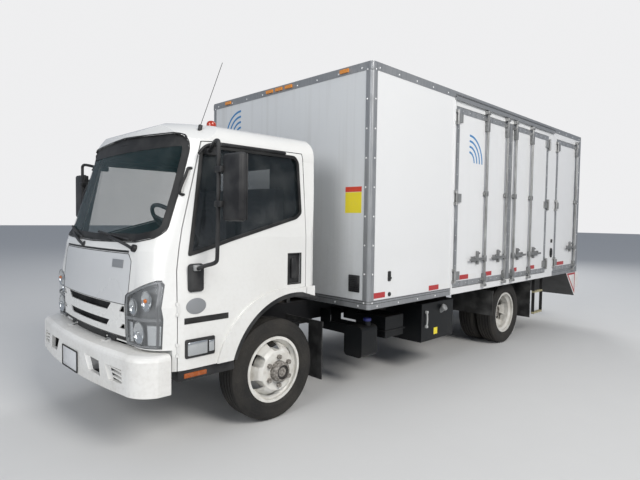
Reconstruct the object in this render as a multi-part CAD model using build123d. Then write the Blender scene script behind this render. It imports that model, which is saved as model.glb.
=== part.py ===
from build123d import *
import math
import os

# A mobile shredding truck: a low cab-forward truck with a box body.
# X points forward, Y to the vehicle's left, Z up, in millimetres, with the ground at Z = 0.

# Whole vehicle
wheelbase = 3810
front_overhang = 1217
rear_overhang = 2293
front_axle_x = (wheelbase + rear_overhang - front_overhang) / 2
rear_axle_x = front_axle_x - wheelbase
nose_x = front_axle_x + front_overhang
tail_x = rear_axle_x - rear_overhang

# Clearances
seat_gap = 0.3
pin_gap = 0.3
swing_gap = 8

# Tyres and wheels
tyre_radius = 400
tyre_width = 226
tyre_tread_width = 176
bead_radius = 246
rim_width = 171
rim_flange_radius = 260
rim_wall = 8
rim_drop = 26
wheel_offset = 127
disc_thickness = 11
disc_face_radius = 152
hand_hole_count = 6
hand_hole_radius = 31
hand_hole_lean = 5
hand_hole_turn = 30
nut_count = 6
nut_circle = 222.25
nut_radius = 19
nut_height = 26
hub_radius = 78
hub_length = 62
drum_radius = 158
drum_wall = 12
drum_length = 110
front_track = 1665
rear_track = 1650
dual_spacing = 2 * wheel_offset
hub_bore_radius = 36

# Ladder frame
frame_width = 851
rail_height = 190
rail_flange = 60
rail_wall = 8
rail_top = 800
rail_front_x = front_axle_x + 975
rail_rear_x = tail_x + 190

# Front axle and steering
kingpin_y = 700
kingpin_radius = 18
eye_radius = 40
eye_height = 80
beam_height = 70
beam_width = 80
beam_drop = 70
fork_height = 26
steering_arm_length = 150
tie_rod_radius = 15

# Springs
spring_width = 70
spring_y = 415
leaf_thickness = 16
leaf_count = 3

# Cab
cab_rear_x = front_axle_x - 385
cab_half_width = 1000
cab_wall = 55
cab_rear_radius = 90
cab_roof_z = 2310
cab_belt_z = 1360
cab_floor_z = 580
cab_nose_bottom_z = 722
arch_radius = 610
arch_x = front_axle_x - 130
tunnel_half_width = 400
tunnel_top_z = 1120
hump_half_width = 460
hump_top_z = 832
hump_front_x = front_axle_x + 1030
door_front_x = front_axle_x + 872
door_rear_x = front_axle_x - 250
door_top_z = 2112
cab_door_gap = 6
cab_hinge_x = door_front_x + cab_door_gap / 2
cab_hinge_y = cab_half_width - 7
cab_hinge_radius = 5
cab_hinge_heights = (720, 990)
cab_hinge_length = 50
cab_hinge_end = 20
cab_hinge_relief = 2
glass_inset = 14
glass_thickness = 6
tilt_x = front_axle_x + 1090
tilt_z = 680

# Box body
box_front_x = front_axle_x - 790
box_length = 5180
box_rear_x = box_front_x - box_length
box_half_width = 1220
box_bottom_z = 815
box_top_z = 2935
rail_face = 70
rail_depth = 30
panel_thickness = 25
panel_setback = 3
sill_height = 75
floor_thickness = 30
door_thickness = 32
hinge_offset = 20
hinge_radius = 12
hinge_length = 90
rod_radius = 14
rod_standoff = 26


def block(x_low, x_high, y_low, y_high, z_low, z_high):
    size = (x_high - x_low, y_high - y_low, z_high - z_low)
    centre = ((x_low + x_high) / 2, (y_low + y_high) / 2, (z_low + z_high) / 2)
    return Pos(*centre) * Box(*size)


def bar_x(radius, x_low, x_high, y, z):
    return Pos((x_low + x_high) / 2, y, z) * Rot(0, 90, 0) * Cylinder(radius, x_high - x_low)


def bar_y(radius, x, y_low, y_high, z):
    return Pos(x, (y_low + y_high) / 2, z) * Rot(90, 0, 0) * Cylinder(radius, y_high - y_low)


def bar_z(radius, x, y, z_low, z_high):
    return Pos(x, y, (z_low + z_high) / 2) * Cylinder(radius, z_high - z_low)


def side_prism(points, y_low, y_high):
    """A side view outline of (x, z) corners, carried across the vehicle."""
    outline = Polyline(*[(x, y_low, z) for x, z in points], close=True)
    return extrude(make_face(outline), amount=y_high - y_low, dir=(0, 1, 0))


def front_prism(points, x_low, x_high):
    """A front view outline of (y, z) corners, carried along the vehicle."""
    outline = Polyline(*[(x_low, y, z) for y, z in points], close=True)
    return extrude(make_face(outline), amount=x_high - x_low, dir=(1, 0, 0))


def rounded_prism(corners, run, radius):
    """A closed outline of points with all its corners rounded, carried along run."""
    outline = FilletPolyline(*corners, radius=radius, close=True)
    return extrude(make_face(outline), amount=Vector(*run).length, dir=run)


def other_side(shape):
    return mirror(shape, about=Plane.XZ)


def both_sides(shape):
    return [shape, other_side(shape)]


def fuse(pieces):
    whole = pieces[0]
    for piece in pieces[1:]:
        whole = whole + piece
    return whole


def round_about_y(points, y_centre):
    """Revolve an outline of (radius, y) corners about an axle line at the wheel's height."""
    outline = Polyline(*[(r, y, 0) for r, y in points], close=True)
    turned = revolve(make_face(outline), axis=Axis.Y, revolution_arc=360)
    return Pos(0, y_centre, tyre_radius) * turned


def tyre(y_centre):
    """A closed ring with flat tread, round shoulders and bulged side walls."""
    half = tyre_width / 2
    tread = tyre_tread_width / 2
    bead = rim_width / 2 - 0.5
    lip = rim_flange_radius + 2
    belly_radius = (tyre_radius + bead_radius) / 2
    shoulder = tyre_radius - 14
    lines = []
    for side in (1, -1):
        side_wall = ThreePointArc((lip, side * bead), (belly_radius, side * half),
                                  (shoulder, side * (tread + 8)))
        lines += [side_wall, Line((shoulder, side * (tread + 8)), (tyre_radius, side * tread)),
                  Line((bead_radius, side * bead), (lip, side * bead))]
    lines += [Line((tyre_radius, -tread), (tyre_radius, tread)),
              Line((bead_radius, -bead), (bead_radius, bead))]
    ring = revolve(make_face(lines), axis=Axis.Y, revolution_arc=360)
    return Pos(0, y_centre, tyre_radius) * ring


def rim(out):
    """A drop centre rim with its dished disc; out is +1 or -1, the way its hub face lies."""
    half = rim_width / 2
    lip = half + 8
    drop = bead_radius - rim_drop
    well = half - 42
    disc_root = well - 8
    face = wheel_offset
    outline = [(rim_flange_radius, -lip), (rim_flange_radius, -half), (bead_radius, -half),
               (bead_radius, -well - 20), (drop, -well), (drop, well),
               (bead_radius, well + 20), (bead_radius, half), (rim_flange_radius, half),
               (rim_flange_radius, lip), (bead_radius - rim_wall, lip),
               (bead_radius - rim_wall, well + 24), (drop - rim_wall, well + 2),
               (drop - rim_wall, -well - 2), (bead_radius - rim_wall, -well - 24),
               (bead_radius - rim_wall, -lip)]
    outline = [(r, out * y) for r, y in outline]
    barrel = round_about_y(outline, 0)
    dish = [(drop - rim_wall + 1, disc_root - 30), (drop - rim_wall + 1, disc_root),
            (disc_face_radius + 26, face - 10), (disc_face_radius, face + disc_thickness),
            (hub_bore_radius + pin_gap, face + disc_thickness), (hub_bore_radius + pin_gap, face),
            (disc_face_radius - 4, face), (disc_face_radius + 12, face - 22)]
    disc = round_about_y([(r, out * y) for r, y in dish], 0)
    wheel = barrel + disc
    hole_circle = (disc_face_radius + drop) / 2 + 2
    y_ends = sorted((out * (disc_root - 40), out * (face + 20)))
    for hole in range(hand_hole_count):
        for lean in (-hand_hole_lean, 0, hand_hole_lean):
            angle = math.radians(hand_hole_turn + hole * 360 / hand_hole_count + lean)
            x = hole_circle * math.cos(angle)
            z = tyre_radius + hole_circle * math.sin(angle)
            wheel = wheel - bar_y(hand_hole_radius, x, y_ends[0], y_ends[1], z)
    return wheel


def hub_and_drum(out, hub_end):
    """The hub, its cap and brake drum, with the disc's seat at wheel_offset and the bearing bore."""
    face = wheel_offset
    bore = hub_bore_radius + pin_gap
    outline = [(bore, face - drum_length + 24), (hub_radius + 6, face - drum_length + 24),
               (hub_radius + 6, face - drum_wall), (drum_radius - drum_wall, face - drum_wall),
               (drum_radius - drum_wall, face - drum_length), (drum_radius, face - drum_length),
               (drum_radius, face), (bore, face)]
    hub = round_about_y([(r, out * y) for r, y in outline], 0)
    cap_start = face + disc_thickness
    cap = [(0, hub_end - 12), (hub_radius - 22, hub_end - 12), (hub_radius - 22, hub_end),
           (hub_radius - 14, hub_end), (hub_radius, hub_end - 16), (hub_radius, cap_start),
           (bore, cap_start), (bore, cap_start + 8), (0, cap_start + 8)]
    hub = hub + round_about_y([(r, out * y) for r, y in cap], 0)
    for turn in range(nut_count):
        angle = math.radians((turn + 0.5) * 360 / nut_count)
        x = nut_circle / 2 * math.cos(angle)
        z = nut_circle / 2 * math.sin(angle)
        nut = extrude(RegularPolygon(nut_radius, 6), amount=nut_height)
        nut = Rot(-90 * out, 0, 0) * nut
        hub = hub + Pos(x, out * (face + disc_thickness), tyre_radius + z) * nut
    return hub


def front_wheel():
    """One steered wheel at the left side: its rim is dished outwards over the hub."""
    hub_end = wheel_offset + disc_thickness + hub_length
    wheel = rim(1) + hub_and_drum(1, hub_end)
    return Pos(front_axle_x, front_track / 2, 0) * wheel


def rear_wheels():
    """Twin wheels at the left side: the two discs meet back to back on the hub's seat."""
    outer = Pos(0, dual_spacing / 2, 0) * rim(-1)
    inner = Pos(0, -dual_spacing / 2, 0) * rim(1)
    hub = Pos(0, -dual_spacing / 2, 0) * hub_and_drum(1, wheel_offset + hub_length + 60)
    pair = fuse([outer, inner, hub])
    return Pos(rear_axle_x, rear_track / 2, 0) * pair


def frame_rails():
    """Two channel side rails joined by crossmembers, with the spring hangers and cab pivot lugs."""
    outer = frame_width / 2
    low = rail_top - rail_height
    channel = [(outer, low), (outer, rail_top), (outer - rail_flange, rail_top),
               (outer - rail_flange, rail_top - rail_wall), (outer - rail_wall, rail_top - rail_wall),
               (outer - rail_wall, low + rail_wall), (outer - rail_flange, low + rail_wall),
               (outer - rail_flange, low)]
    rail = front_prism(channel, rail_rear_x, rail_front_x)
    pieces = both_sides(rail)
    inner = outer - rail_wall
    for x, z_low, z_high in cross_members:
        web = block(x - 4, x + 4, -inner, inner, z_low, z_high)
        top = block(x - 30, x + 30, -inner, inner, z_high - 8, z_high)
        pieces += [web, top]
    for eye_x, eye_z, width in spring_eyes:
        y_low = spring_y - width / 2 - 10
        y_high = spring_y + width / 2 + 10
        for y in (y_low, y_high - 8):
            ear = side_prism([(eye_x - 34, eye_z - 24), (eye_x + 34, eye_z - 24),
                              (eye_x + 52, low), (eye_x - 52, low)], y, y + 8)
            pieces += both_sides(ear)
        cap = block(eye_x - 52, eye_x + 52, y_low, y_high, low - 8, low)
        pieces += both_sides(cap)
        pieces += both_sides(bar_y(eye_pin_radius, eye_x, y_low, y_high, eye_z))
    lug = side_prism([(rail_front_x - 130, low + rail_wall), (rail_front_x - 20, low + rail_wall),
                      (tilt_x + 8, tilt_z - lug_radius), (tilt_x, tilt_z + lug_radius),
                      (rail_front_x - 130, rail_top - 40)], lug_y, lug_y + lug_width)
    lug = lug + bar_y(lug_radius, tilt_x, lug_y, lug_y + lug_width, tilt_z)
    step = block(rail_front_x - 130, rail_front_x - 30, lug_y + lug_width, inner,
                 low + rail_wall + 20, rail_top - 60)
    pieces += both_sides(lug + step)
    return fuse(pieces)


lug_radius = 24
lug_width = 30
lug_y = 345
eye_pin_radius = 16
front_eye_x = 640
rear_eye_x = 620
front_eye_z = 548
rear_eye_z = 566
# Crossmembers: X, lowest and highest Z.
cross_members = [
    (rail_front_x - 60, 640, 790),
    (front_axle_x - 1260, 690, 790),
    (front_axle_x - 1650, 690, 790),
    (front_axle_x - 2500, 690, 790),
    (rear_axle_x + 520, 690, 790),
    (rear_axle_x - 520, 660, 790),
    (rear_axle_x - 1350, 660, 790),
    (rail_rear_x + 60, 660, 790),
]
# Spring eyes: X, Z and the width between the hanger's ears.
spring_eyes = [
    (front_axle_x + front_eye_x, front_eye_z, spring_width),
    (front_axle_x - front_eye_x, front_eye_z, spring_width),
    (rear_axle_x + rear_eye_x, rear_eye_z, spring_width),
    (rear_axle_x - rear_eye_x, rear_eye_z, spring_width),
]


def leaf_spring(axle_x, seat_z, eye_x, eye_z):
    """A stack of curved leaves, each shorter than the one above, with rolled eyes on the top leaf."""
    y_low = spring_y - spring_width / 2
    top = seat_z + leaf_count * leaf_thickness
    rise = eye_z - eye_pin_radius - pin_gap - top
    pieces = []
    for leaf in range(leaf_count):
        reach = eye_x * (1 - 0.24 * leaf)
        high = top - leaf * leaf_thickness
        lift = rise * (reach / eye_x) ** 2
        low = high - leaf_thickness
        upper = ThreePointArc((-reach, y_low, high + lift), (0, y_low, high), (reach, y_low, high + lift))
        lower = ThreePointArc((-reach, y_low, low + lift), (0, y_low, low), (reach, y_low, low + lift))
        ends = [Line((side * reach, y_low, low + lift), (side * reach, y_low, high + lift))
                for side in (-1, 1)]
        face = make_face([upper, lower] + ends)
        pieces.append(extrude(face, amount=spring_width, dir=(0, 1, 0)))
    pack = fuse(pieces)
    for side in (-1, 1):
        ring = bar_y(eye_pin_radius + 14, side * eye_x, y_low, y_low + spring_width, eye_z)
        pack = pack + ring
    for side in (-1, 1):
        pack = pack - bar_y(eye_pin_radius + pin_gap, side * eye_x, y_low - 1,
                            y_low + spring_width + 1, eye_z)
    seat = block(-60, 60, y_low, y_low + spring_width, seat_z, seat_z + leaf_thickness)
    clamp = block(-55, 55, y_low, y_low + spring_width, top - 2, top + 14)
    return Pos(axle_x, 0, 0) * (pack + seat + clamp)


beam_top = tyre_radius - beam_drop + beam_height / 2
rear_pad_z = 478


def leaf_springs():
    front = leaf_spring(front_axle_x, beam_top, front_eye_x, front_eye_z)
    rear = leaf_spring(rear_axle_x, rear_pad_z, rear_eye_x, rear_eye_z)
    return both_sides(front) + both_sides(rear)


def front_axle():
    """A dropped beam whose upturned ends carry the kingpin eyes."""
    half = beam_width / 2
    low = beam_top - beam_height
    eye_low = tyre_radius - eye_height / 2
    eye_high = tyre_radius + eye_height / 2
    shape = [(0, low), (spring_y + 60, low), (kingpin_y - 60, eye_low), (kingpin_y, eye_low),
             (kingpin_y, eye_high), (kingpin_y - 40, eye_high), (spring_y + 50, beam_top),
             (0, beam_top)]
    arm = front_prism(shape, front_axle_x - half, front_axle_x + half)
    recess = [(0, low + 14), (spring_y + 70, low + 14), (kingpin_y - 90, eye_low + 24),
              (kingpin_y - 90, eye_high - 34), (spring_y + 60, beam_top - 14), (0, beam_top - 14)]
    for x in (front_axle_x - half, front_axle_x + 14):
        arm = arm - front_prism(recess, x, x + half - 14)
    arm = arm - block(front_axle_x - 60, front_axle_x + 60, kingpin_y, kingpin_y + 60, eye_low - 1,
                      eye_high + 1)
    arm = arm + bar_z(eye_radius, front_axle_x, kingpin_y, eye_low, eye_high)
    arm = arm - bar_z(kingpin_radius + pin_gap, front_axle_x, kingpin_y, eye_low - 1, eye_high + 1)
    return fuse(both_sides(arm))


def knuckle():
    """The left steering knuckle: fork, kingpin, spindle, backing plate and steering arm."""
    eye_low = tyre_radius - eye_height / 2 - pin_gap
    eye_high = tyre_radius + eye_height / 2 + pin_gap
    bridge_y = kingpin_y + eye_radius + 6
    plate_y = front_track / 2 + wheel_offset - drum_length - 14
    parts = [bar_z(kingpin_radius, front_axle_x, kingpin_y, eye_low, eye_high)]
    for z in (eye_low - fork_height, eye_high):
        arm = bar_z(eye_radius - 6, front_axle_x, kingpin_y, z, z + fork_height)
        arm = arm + block(front_axle_x - 34, front_axle_x + 34, kingpin_y, bridge_y + 20, z,
                          z + fork_height)
        parts.append(arm)
    parts.append(block(front_axle_x - 34, front_axle_x + 34, bridge_y, bridge_y + 20,
                       eye_low - fork_height, eye_high + fork_height))
    parts.append(bar_y(56, front_axle_x, bridge_y + 10, plate_y + 10, tyre_radius))
    parts.append(bar_y(drum_radius - drum_wall - 8, front_axle_x, plate_y, plate_y + 8, tyre_radius))
    spindle_end = front_track / 2 + wheel_offset + disc_thickness + 4
    parts.append(bar_y(hub_bore_radius, front_axle_x, plate_y, spindle_end, tyre_radius))
    arm_low = eye_low - fork_height
    arm_x = front_axle_x - steering_arm_length
    steer_arm = block(arm_x, front_axle_x - 20, kingpin_y - 16, kingpin_y + 16, arm_low, arm_low + 22)
    steer_arm = steer_arm + bar_z(24, arm_x, kingpin_y, arm_low, arm_low + 22)
    parts.append(steer_arm)
    return fuse(parts)


def tie_rod():
    """The track rod behind the axle, with an eye under each steering arm."""
    arm_low = tyre_radius - eye_height / 2 - pin_gap - fork_height
    x = front_axle_x - steering_arm_length
    z = arm_low - pin_gap - 16
    rod = bar_y(tie_rod_radius, x, -kingpin_y, kingpin_y, z)
    for y in (-kingpin_y, kingpin_y):
        rod = rod + bar_z(22, x, y, z - 18, z + 16)
    return rod


def rear_axle():
    """A drive axle: tube, round differential housing, spring pads and hollow spindle ends."""
    tube_end = rear_track / 2 - dual_spacing / 2 + wheel_offset - drum_length - 14
    spindle_end = rear_track / 2 + disc_thickness + 4
    parts = [bar_y(62, rear_axle_x, -tube_end, tube_end, tyre_radius)]
    bulge = [(0, -150), (96, -150), (170, -70), (170, 70), (96, 150), (0, 150)]
    parts.append(Pos(rear_axle_x, 0, 0) * round_about_y(bulge, 0))
    parts.append(bar_x(78, rear_axle_x + 100, rear_axle_x + pinion_reach, 0, tyre_radius))
    for side in (-1, 1):
        ends = sorted((side * tube_end, side * spindle_end))
        parts.append(bar_y(hub_bore_radius, rear_axle_x, ends[0], ends[1], tyre_radius))
        plate = sorted((side * (tube_end - 8), side * tube_end))
        parts.append(bar_y(drum_radius - drum_wall - 8, rear_axle_x, plate[0], plate[1], tyre_radius))
        pad = sorted((side * (spring_y - spring_width / 2), side * (spring_y + spring_width / 2)))
        parts.append(block(rear_axle_x - 60, rear_axle_x + 60, pad[0], pad[1], tyre_radius, rear_pad_z))
    return fuse(parts)


pinion_reach = 300
engine_front_x = front_axle_x + 300
engine_rear_x = front_axle_x - 560
engine_half_width = 300
engine_low_z = 470
engine_high_z = 1060
gearbox_rear_x = front_axle_x - 1180
gearbox_radius = 150
gearbox_z = 610
shaft_radius = 45


def driveline():
    """The engine as one plain block, the gearbox, and the propeller shaft to the rear axle."""
    engine = block(engine_rear_x, engine_front_x, -engine_half_width, engine_half_width,
                   engine_low_z, engine_high_z)
    gearbox = bar_x(gearbox_radius, gearbox_rear_x, engine_rear_x, 0, gearbox_z)
    mounts = []
    inner = frame_width / 2 - rail_wall
    for x in (engine_front_x - 160, engine_rear_x + 160):
        mounts += [block(x - 30, x + 30, -inner, inner, gearbox_z + 20, gearbox_z + 60)]
    start = Vector(gearbox_rear_x + 10, 0, gearbox_z)
    end = Vector(rear_axle_x + pinion_reach + seat_gap + 20, 0, tyre_radius)
    run = end - start
    shaft = Plane(origin=start, z_dir=run) * Pos(0, 0, run.length / 2) * Cylinder(shaft_radius, run.length)
    joint = bar_x(shaft_radius + 12, end.X - 20, end.X + 30, 0, tyre_radius)
    return fuse([engine, gearbox] + mounts + [shaft, joint])


bumper_low_z = 440
bumper_high_z = 702
bumper_wall = 6
bumper_end_x = front_axle_x + 925
bumper_tuck = 24
lug_notch = (292, 388)
lug_notch_reach = 32
pocket_depth = 105
pocket_wall = 5
# Lamp pockets on the left side: front corners and back corners as (y, z).
bumper_pockets = [
    ([(262, 620), (496, 610), (516, 502), (330, 514)], [(372, 604), (488, 600), (506, 514), (402, 520)]),
    ([(548, 610), (788, 606), (790, 506), (610, 504)], [(632, 600), (780, 597), (782, 514), (664, 512)]),
]
bumper_half_width = 1000
bumper_bow = 62
bumper_knee_y = bumper_half_width - 190
bracket_y = frame_width / 2 - 55
plate_hole_spacing = 178
plate_hole_radius = 4
plate_hole_z = 585


def bumper_outline(inset):
    """Plan view of the bumper's front, bowed with round corners."""
    nose = nose_x - inset
    half = bumper_half_width - inset
    knee = (nose - bumper_bow, bumper_knee_y - inset)
    corner = (nose - 105, half - 68)
    side = (nose - 205, half)
    lines = [ThreePointArc((knee[0], -knee[1]), (nose, 0), knee)]
    for s in (1, -1):
        lines.append(ThreePointArc((knee[0], s * knee[1]), (corner[0], s * corner[1]),
                                   (side[0], s * side[1])))
        lines.append(Line((side[0], s * side[1]), (bumper_end_x, s * half)))
    lines.append(Line((bumper_end_x, -half), (bumper_end_x, half)))
    return make_face(lines)


def bumper_form(inset):
    """The bumper's closed form with its rounded top edge, set in by inset."""
    top = bumper_high_z - inset
    rows = [(bumper_low_z, 0), (top - 34, 0), (top - 20, 4), (top - 8, 12), (top, 28)]
    return loft([Pos(0, 0, z) * bumper_outline(inset + tuck) for z, tuck in rows], ruled=True)


def bumper_pocket(grow):
    """The left lamp pockets behind the bumper's face, narrowing inwards."""
    pockets = []
    for front, back in bumper_pockets:
        ends = []
        for corners, x in ((front, nose_x + 1), (back, nose_x - pocket_depth)):
            y_mid = sum(y for y, z in corners) / len(corners)
            z_mid = sum(z for y, z in corners) / len(corners)
            points = [(x, y + math.copysign(grow, y - y_mid), z + math.copysign(grow, z - z_mid))
                      for y, z in corners]
            ends.append(make_face(Polyline(*points, close=True)))
        pockets.append(loft(ends, ruled=True))
    return fuse(pockets)


def front_bumper():
    """A pressed bumper: bowed face, top ledge reaching under the cab, lamp pockets and brackets."""
    outside = bumper_form(0)
    hollow = bumper_form(bumper_wall) + Pos(0, 0, bumper_low_z - 10) * extrude(
        bumper_outline(bumper_wall), amount=20)
    ends = block(bumper_end_x - 1, bumper_end_x + 60, bumper_wall - bumper_half_width,
                 bumper_half_width - bumper_wall, bumper_low_z - 11, bumper_high_z - bumper_wall)
    nose, knee_x, knee_y, side_x = cab_sections[0][1:]
    under_cab = cab_section(bumper_low_z, nose, knee_x, knee_y, side_x, bumper_tuck)
    under_cab = extrude(under_cab, amount=400)
    shell = outside - hollow - ends - under_cab
    for side in (-1, 1):
        y_a, y_b = sorted((side * lug_notch[0], side * lug_notch[1]))
        shell = shell - block(bumper_end_x, tilt_x + lug_notch_reach, y_a, y_b, bumper_high_z - 40, bumper_high_z + 1)
        shell = shell - bar_x(plate_hole_radius, nose_x - 60, nose_x + 10, side * plate_hole_spacing / 2,
                              plate_hole_z)
    lining = bumper_pocket(pocket_wall) & outside
    shell = shell + lining + other_side(lining)
    pocket = bumper_pocket(0)
    shell = shell - pocket - other_side(pocket)
    bracket_x = nose_x - bumper_bow * (bracket_y / bumper_knee_y) ** 2 - bumper_wall / 2
    brackets = []
    for side in (-1, 1):
        y_a, y_b = sorted((side * (bracket_y - 4), side * (bracket_y + 4)))
        bracket = block(rail_front_x - 90, bracket_x, y_a, y_b, bumper_low_z + 40, rail_top - rail_height)
        brackets.append(bracket - pocket - other_side(pocket))
    return fuse([shell] + brackets)


# Plan sections of the cab: Z, nose X at the centre line, knee X, knee Y, X where the side starts.
cab_sections = [
    (500, front_axle_x + 1083, front_axle_x + 1033, 700, front_axle_x + 790),
    (1000, front_axle_x + 1100, front_axle_x + 1050, 700, front_axle_x + 800),
    (cab_belt_z, front_axle_x + 1065, front_axle_x + 1012, 700, front_axle_x + 640),
    (2400, front_axle_x + 731, front_axle_x + 678, 700, front_axle_x + 306),
]


def cab_section(z, nose, knee_x, knee_y, side_x, inset):
    """A horizontal outline of the cab, set in by inset on every side."""
    across = knee_x - side_x
    down = cab_half_width - knee_y
    radius = (across ** 2 + down ** 2) / (2 * down)
    centre = (side_x, cab_half_width - radius)
    knee_angle = math.atan2(knee_y - centre[1], knee_x - centre[0])
    mid_angle = (knee_angle + math.pi / 2) / 2
    tight = radius - inset
    half = cab_half_width - inset
    back = cab_rear_x + inset
    rear = cab_rear_radius - inset
    lines = []
    knees = []
    for side in (1, -1):
        knee = (centre[0] + tight * math.cos(knee_angle),
                side * (centre[1] + tight * math.sin(knee_angle)))
        middle = (centre[0] + tight * math.cos(mid_angle),
                  side * (centre[1] + tight * math.sin(mid_angle)))
        tail_mid = (back + rear * (1 - math.sqrt(0.5)), side * (half - rear * (1 - math.sqrt(0.5))))
        lines.append(ThreePointArc(knee, middle, (side_x, side * half)))
        lines.append(Line((side_x, side * half), (back + rear, side * half)))
        lines.append(ThreePointArc((back + rear, side * half), tail_mid, (back, side * (half - rear))))
        knees.append(knee)
    lines.append(ThreePointArc(knees[1], (nose - inset, 0), knees[0]))
    lines.append(Line((back, half - rear), (back, rear - half)))
    return Pos(0, 0, z) * make_face(lines)


# The cab's front view on the left side: Y, Z, and how far each point moves in per unit of inset.
cab_side_line = [(0, 1450, 1, 0), (-50, 2050, 1, 0)]
cab_roof_edge = [(-50, 2050, 1, 0), (-92, 2188, 0.8, 0.6), (-210, 2254, 0.3, 0.95)]


def cab_front_view(inset):
    """The cab's front view outline, with leaning sides, round roof edges and a crowned roof."""
    half = cab_half_width
    bottom = (half - inset, 300)
    wall = [(half + y - inset * across, z - inset * down) for y, z, across, down in cab_side_line]
    edge = [(half + y - inset * across, z - inset * down) for y, z, across, down in cab_roof_edge]
    crown = (0, cab_roof_z - inset)
    lines = [Line((0, -bottom[0], 300), (0, bottom[0], 300))]
    for s in (1, -1):
        lines.append(Line((0, s * bottom[0], 300), (0, s * wall[0][0], wall[0][1])))
        lines.append(Line((0, s * wall[0][0], wall[0][1]), (0, s * wall[1][0], wall[1][1])))
        lines.append(ThreePointArc(*[(0, s * y, z) for y, z in edge]))
    lines.append(ThreePointArc((0, edge[2][0], edge[2][1]), (0, crown[0], crown[1]),
                               (0, -edge[2][0], edge[2][1])))
    prism = extrude(make_face(lines), amount=2400, dir=(1, 0, 0))
    return Pos(cab_rear_x - 300, 0, 0) * prism


def arch_line(inset):
    """The wheel arch in side view, grown by inset: its front foot, middle and rear end."""
    radius = arch_radius + inset
    floor = cab_floor_z + inset
    front = (arch_x + math.sqrt(radius ** 2 - (floor - tyre_radius) ** 2), floor)
    middle = (arch_x + radius * math.cos(math.radians(50)),
              tyre_radius + radius * math.sin(math.radians(50)))
    end = (arch_x - 80, tyre_radius + math.sqrt(radius ** 2 - 80 ** 2))
    return front, middle, end


def cab_side_view(inset, floored):
    """The cab's side view outline: floor, wheel arch, rear wall, roof and header."""
    back = cab_rear_x - 50
    far = front_axle_x + 1300
    roof = cab_roof_z - inset
    header = [(front_axle_x + 560, roof), (front_axle_x + 700 - 0.2 * inset, roof - 26),
              (front_axle_x + 860 - 0.75 * inset, roof - 130 + 0.25 * inset)]
    top = [(back, roof - 70), (back + 110, roof - 8), (back + 310, roof), header[0]]
    nose_step = front_axle_x + 905 - inset
    nose_z = cab_nose_bottom_z + inset
    front, middle, end = arch_line(inset)
    tail = (back, 955 + inset)
    low_corner = (far, nose_z) if floored else (far, 300)
    lines = [Line((a[0], 0, a[1]), (b[0], 0, b[1])) for a, b in zip(top, top[1:])]
    lines.append(ThreePointArc(*[(x, 0, z) for x, z in header]))
    rest = [header[2], (far, 1500), low_corner]
    if floored:
        rest += [(nose_step, nose_z), (nose_step, front[1]), front]
        lines.append(ThreePointArc(*[(x, 0, z) for x, z in (front, middle, end)]))
        lines.append(Line((end[0], 0, end[1]), (tail[0], 0, tail[1])))
        lines.append(Line((tail[0], 0, tail[1]), (back, 0, roof - 70)))
    else:
        rest += [(back, 300), (back, roof - 70)]
    lines += [Line((a[0], 0, a[1]), (b[0], 0, b[1])) for a, b in zip(rest, rest[1:])]
    prism = extrude(make_face(lines), amount=2600, dir=(0, 1, 0))
    return Pos(0, -1300, 0) * prism


# The roof's left front corner seen along its 45 degree shoulder: distance out from the front
# axle's centre, Z, and how far each point moves in and down per unit of inset.
roof_corner = [(560, 2303, 0.1, 1), (900, 2258, 0.3, 0.95), (1098, 2130, 0.85, 0.5)]


def roof_corner_view(inset):
    """The space that rounds off the roof above the left end of the windscreen."""
    arc = [(d - inset * across, 0, z - inset * down) for d, z, across, down in roof_corner]
    rest = [arc[2], (1135 - inset, 0, 2020), (1600, 0, 1500), (1600, 0, 200), (-3000, 0, 200),
            (-3000, 0, arc[0][2] + 60), arc[0]]
    lines = [ThreePointArc(*arc)] + [Line(a, b) for a, b in zip(rest, rest[1:])]
    prism = Pos(0, -3000, 0) * extrude(make_face(lines), amount=6000, dir=(0, 1, 0))
    return Pos(front_axle_x, 0, 0) * Rot(0, 0, 45) * prism


def cab_body(inset, floored=True):
    """The cab's closed form, set in by inset; unfloored it runs down past the floor."""
    rows = [cab_section(*row, inset) for row in cab_sections]
    form = loft(rows, ruled=True) & cab_front_view(inset) & cab_side_view(inset, floored)
    corner = roof_corner_view(inset)
    return form & corner & other_side(corner)


def hump(extra):
    """The space under the cab floor for the frame rails and the engine."""
    rails = block(cab_rear_x - 200, hump_front_x + extra, -hump_half_width - extra,
                  hump_half_width + extra, 200, hump_top_z + extra)
    engine = block(cab_rear_x - 200, engine_front_x + 90 + extra, -tunnel_half_width - extra,
                   tunnel_half_width + extra, 200, tunnel_top_z + extra)
    return rails + engine


def door_outline(gap):
    """Side view of the cab door, grown by gap."""
    front = door_front_x + gap
    back = door_rear_x - gap
    top = door_top_z + gap
    return [(front, 300), (front, 1050), (front - 12, 1238), (front - 35, 1375), (front - 63, 1514),
            (front - 222, top), (back + 10, top), (back, top - 60), (back, 300)]


door_window = [(door_front_x - 98, 1346), (door_front_x - 402, 1440), (door_rear_x + 92, 1604),
               (door_rear_x + 50, 1640), (door_rear_x + 56, 2040), (door_rear_x + 90, 2076),
               (door_front_x - 258, 2076), (door_front_x - 216, 2040)]
door_window_corner = 12
windscreen_half = [(640, 1422), (800, 1452), (862, 1504), (862, 1780), (852, 2056), (832, 2120),
                   (786, 2160), (700, 2179)]
windscreen_low = 1410
windscreen_high = 2206
windscreen_corner = 60
lamp_outline = [(612, 722), (940, 730), (948, 930), (926, 1150), (905, 1178), (880, 1176),
                (640, 1076), (612, 1052)]
lamp_setback = 18
rear_window_half = 430
rear_window_low = 1620
rear_window_high = 2040
front_panel_half = [(612, 762), (612, 1052), (640, 1076), (640, 1290), (600, 1340)]
valance_setback = 18
flare_depth = 18


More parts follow.
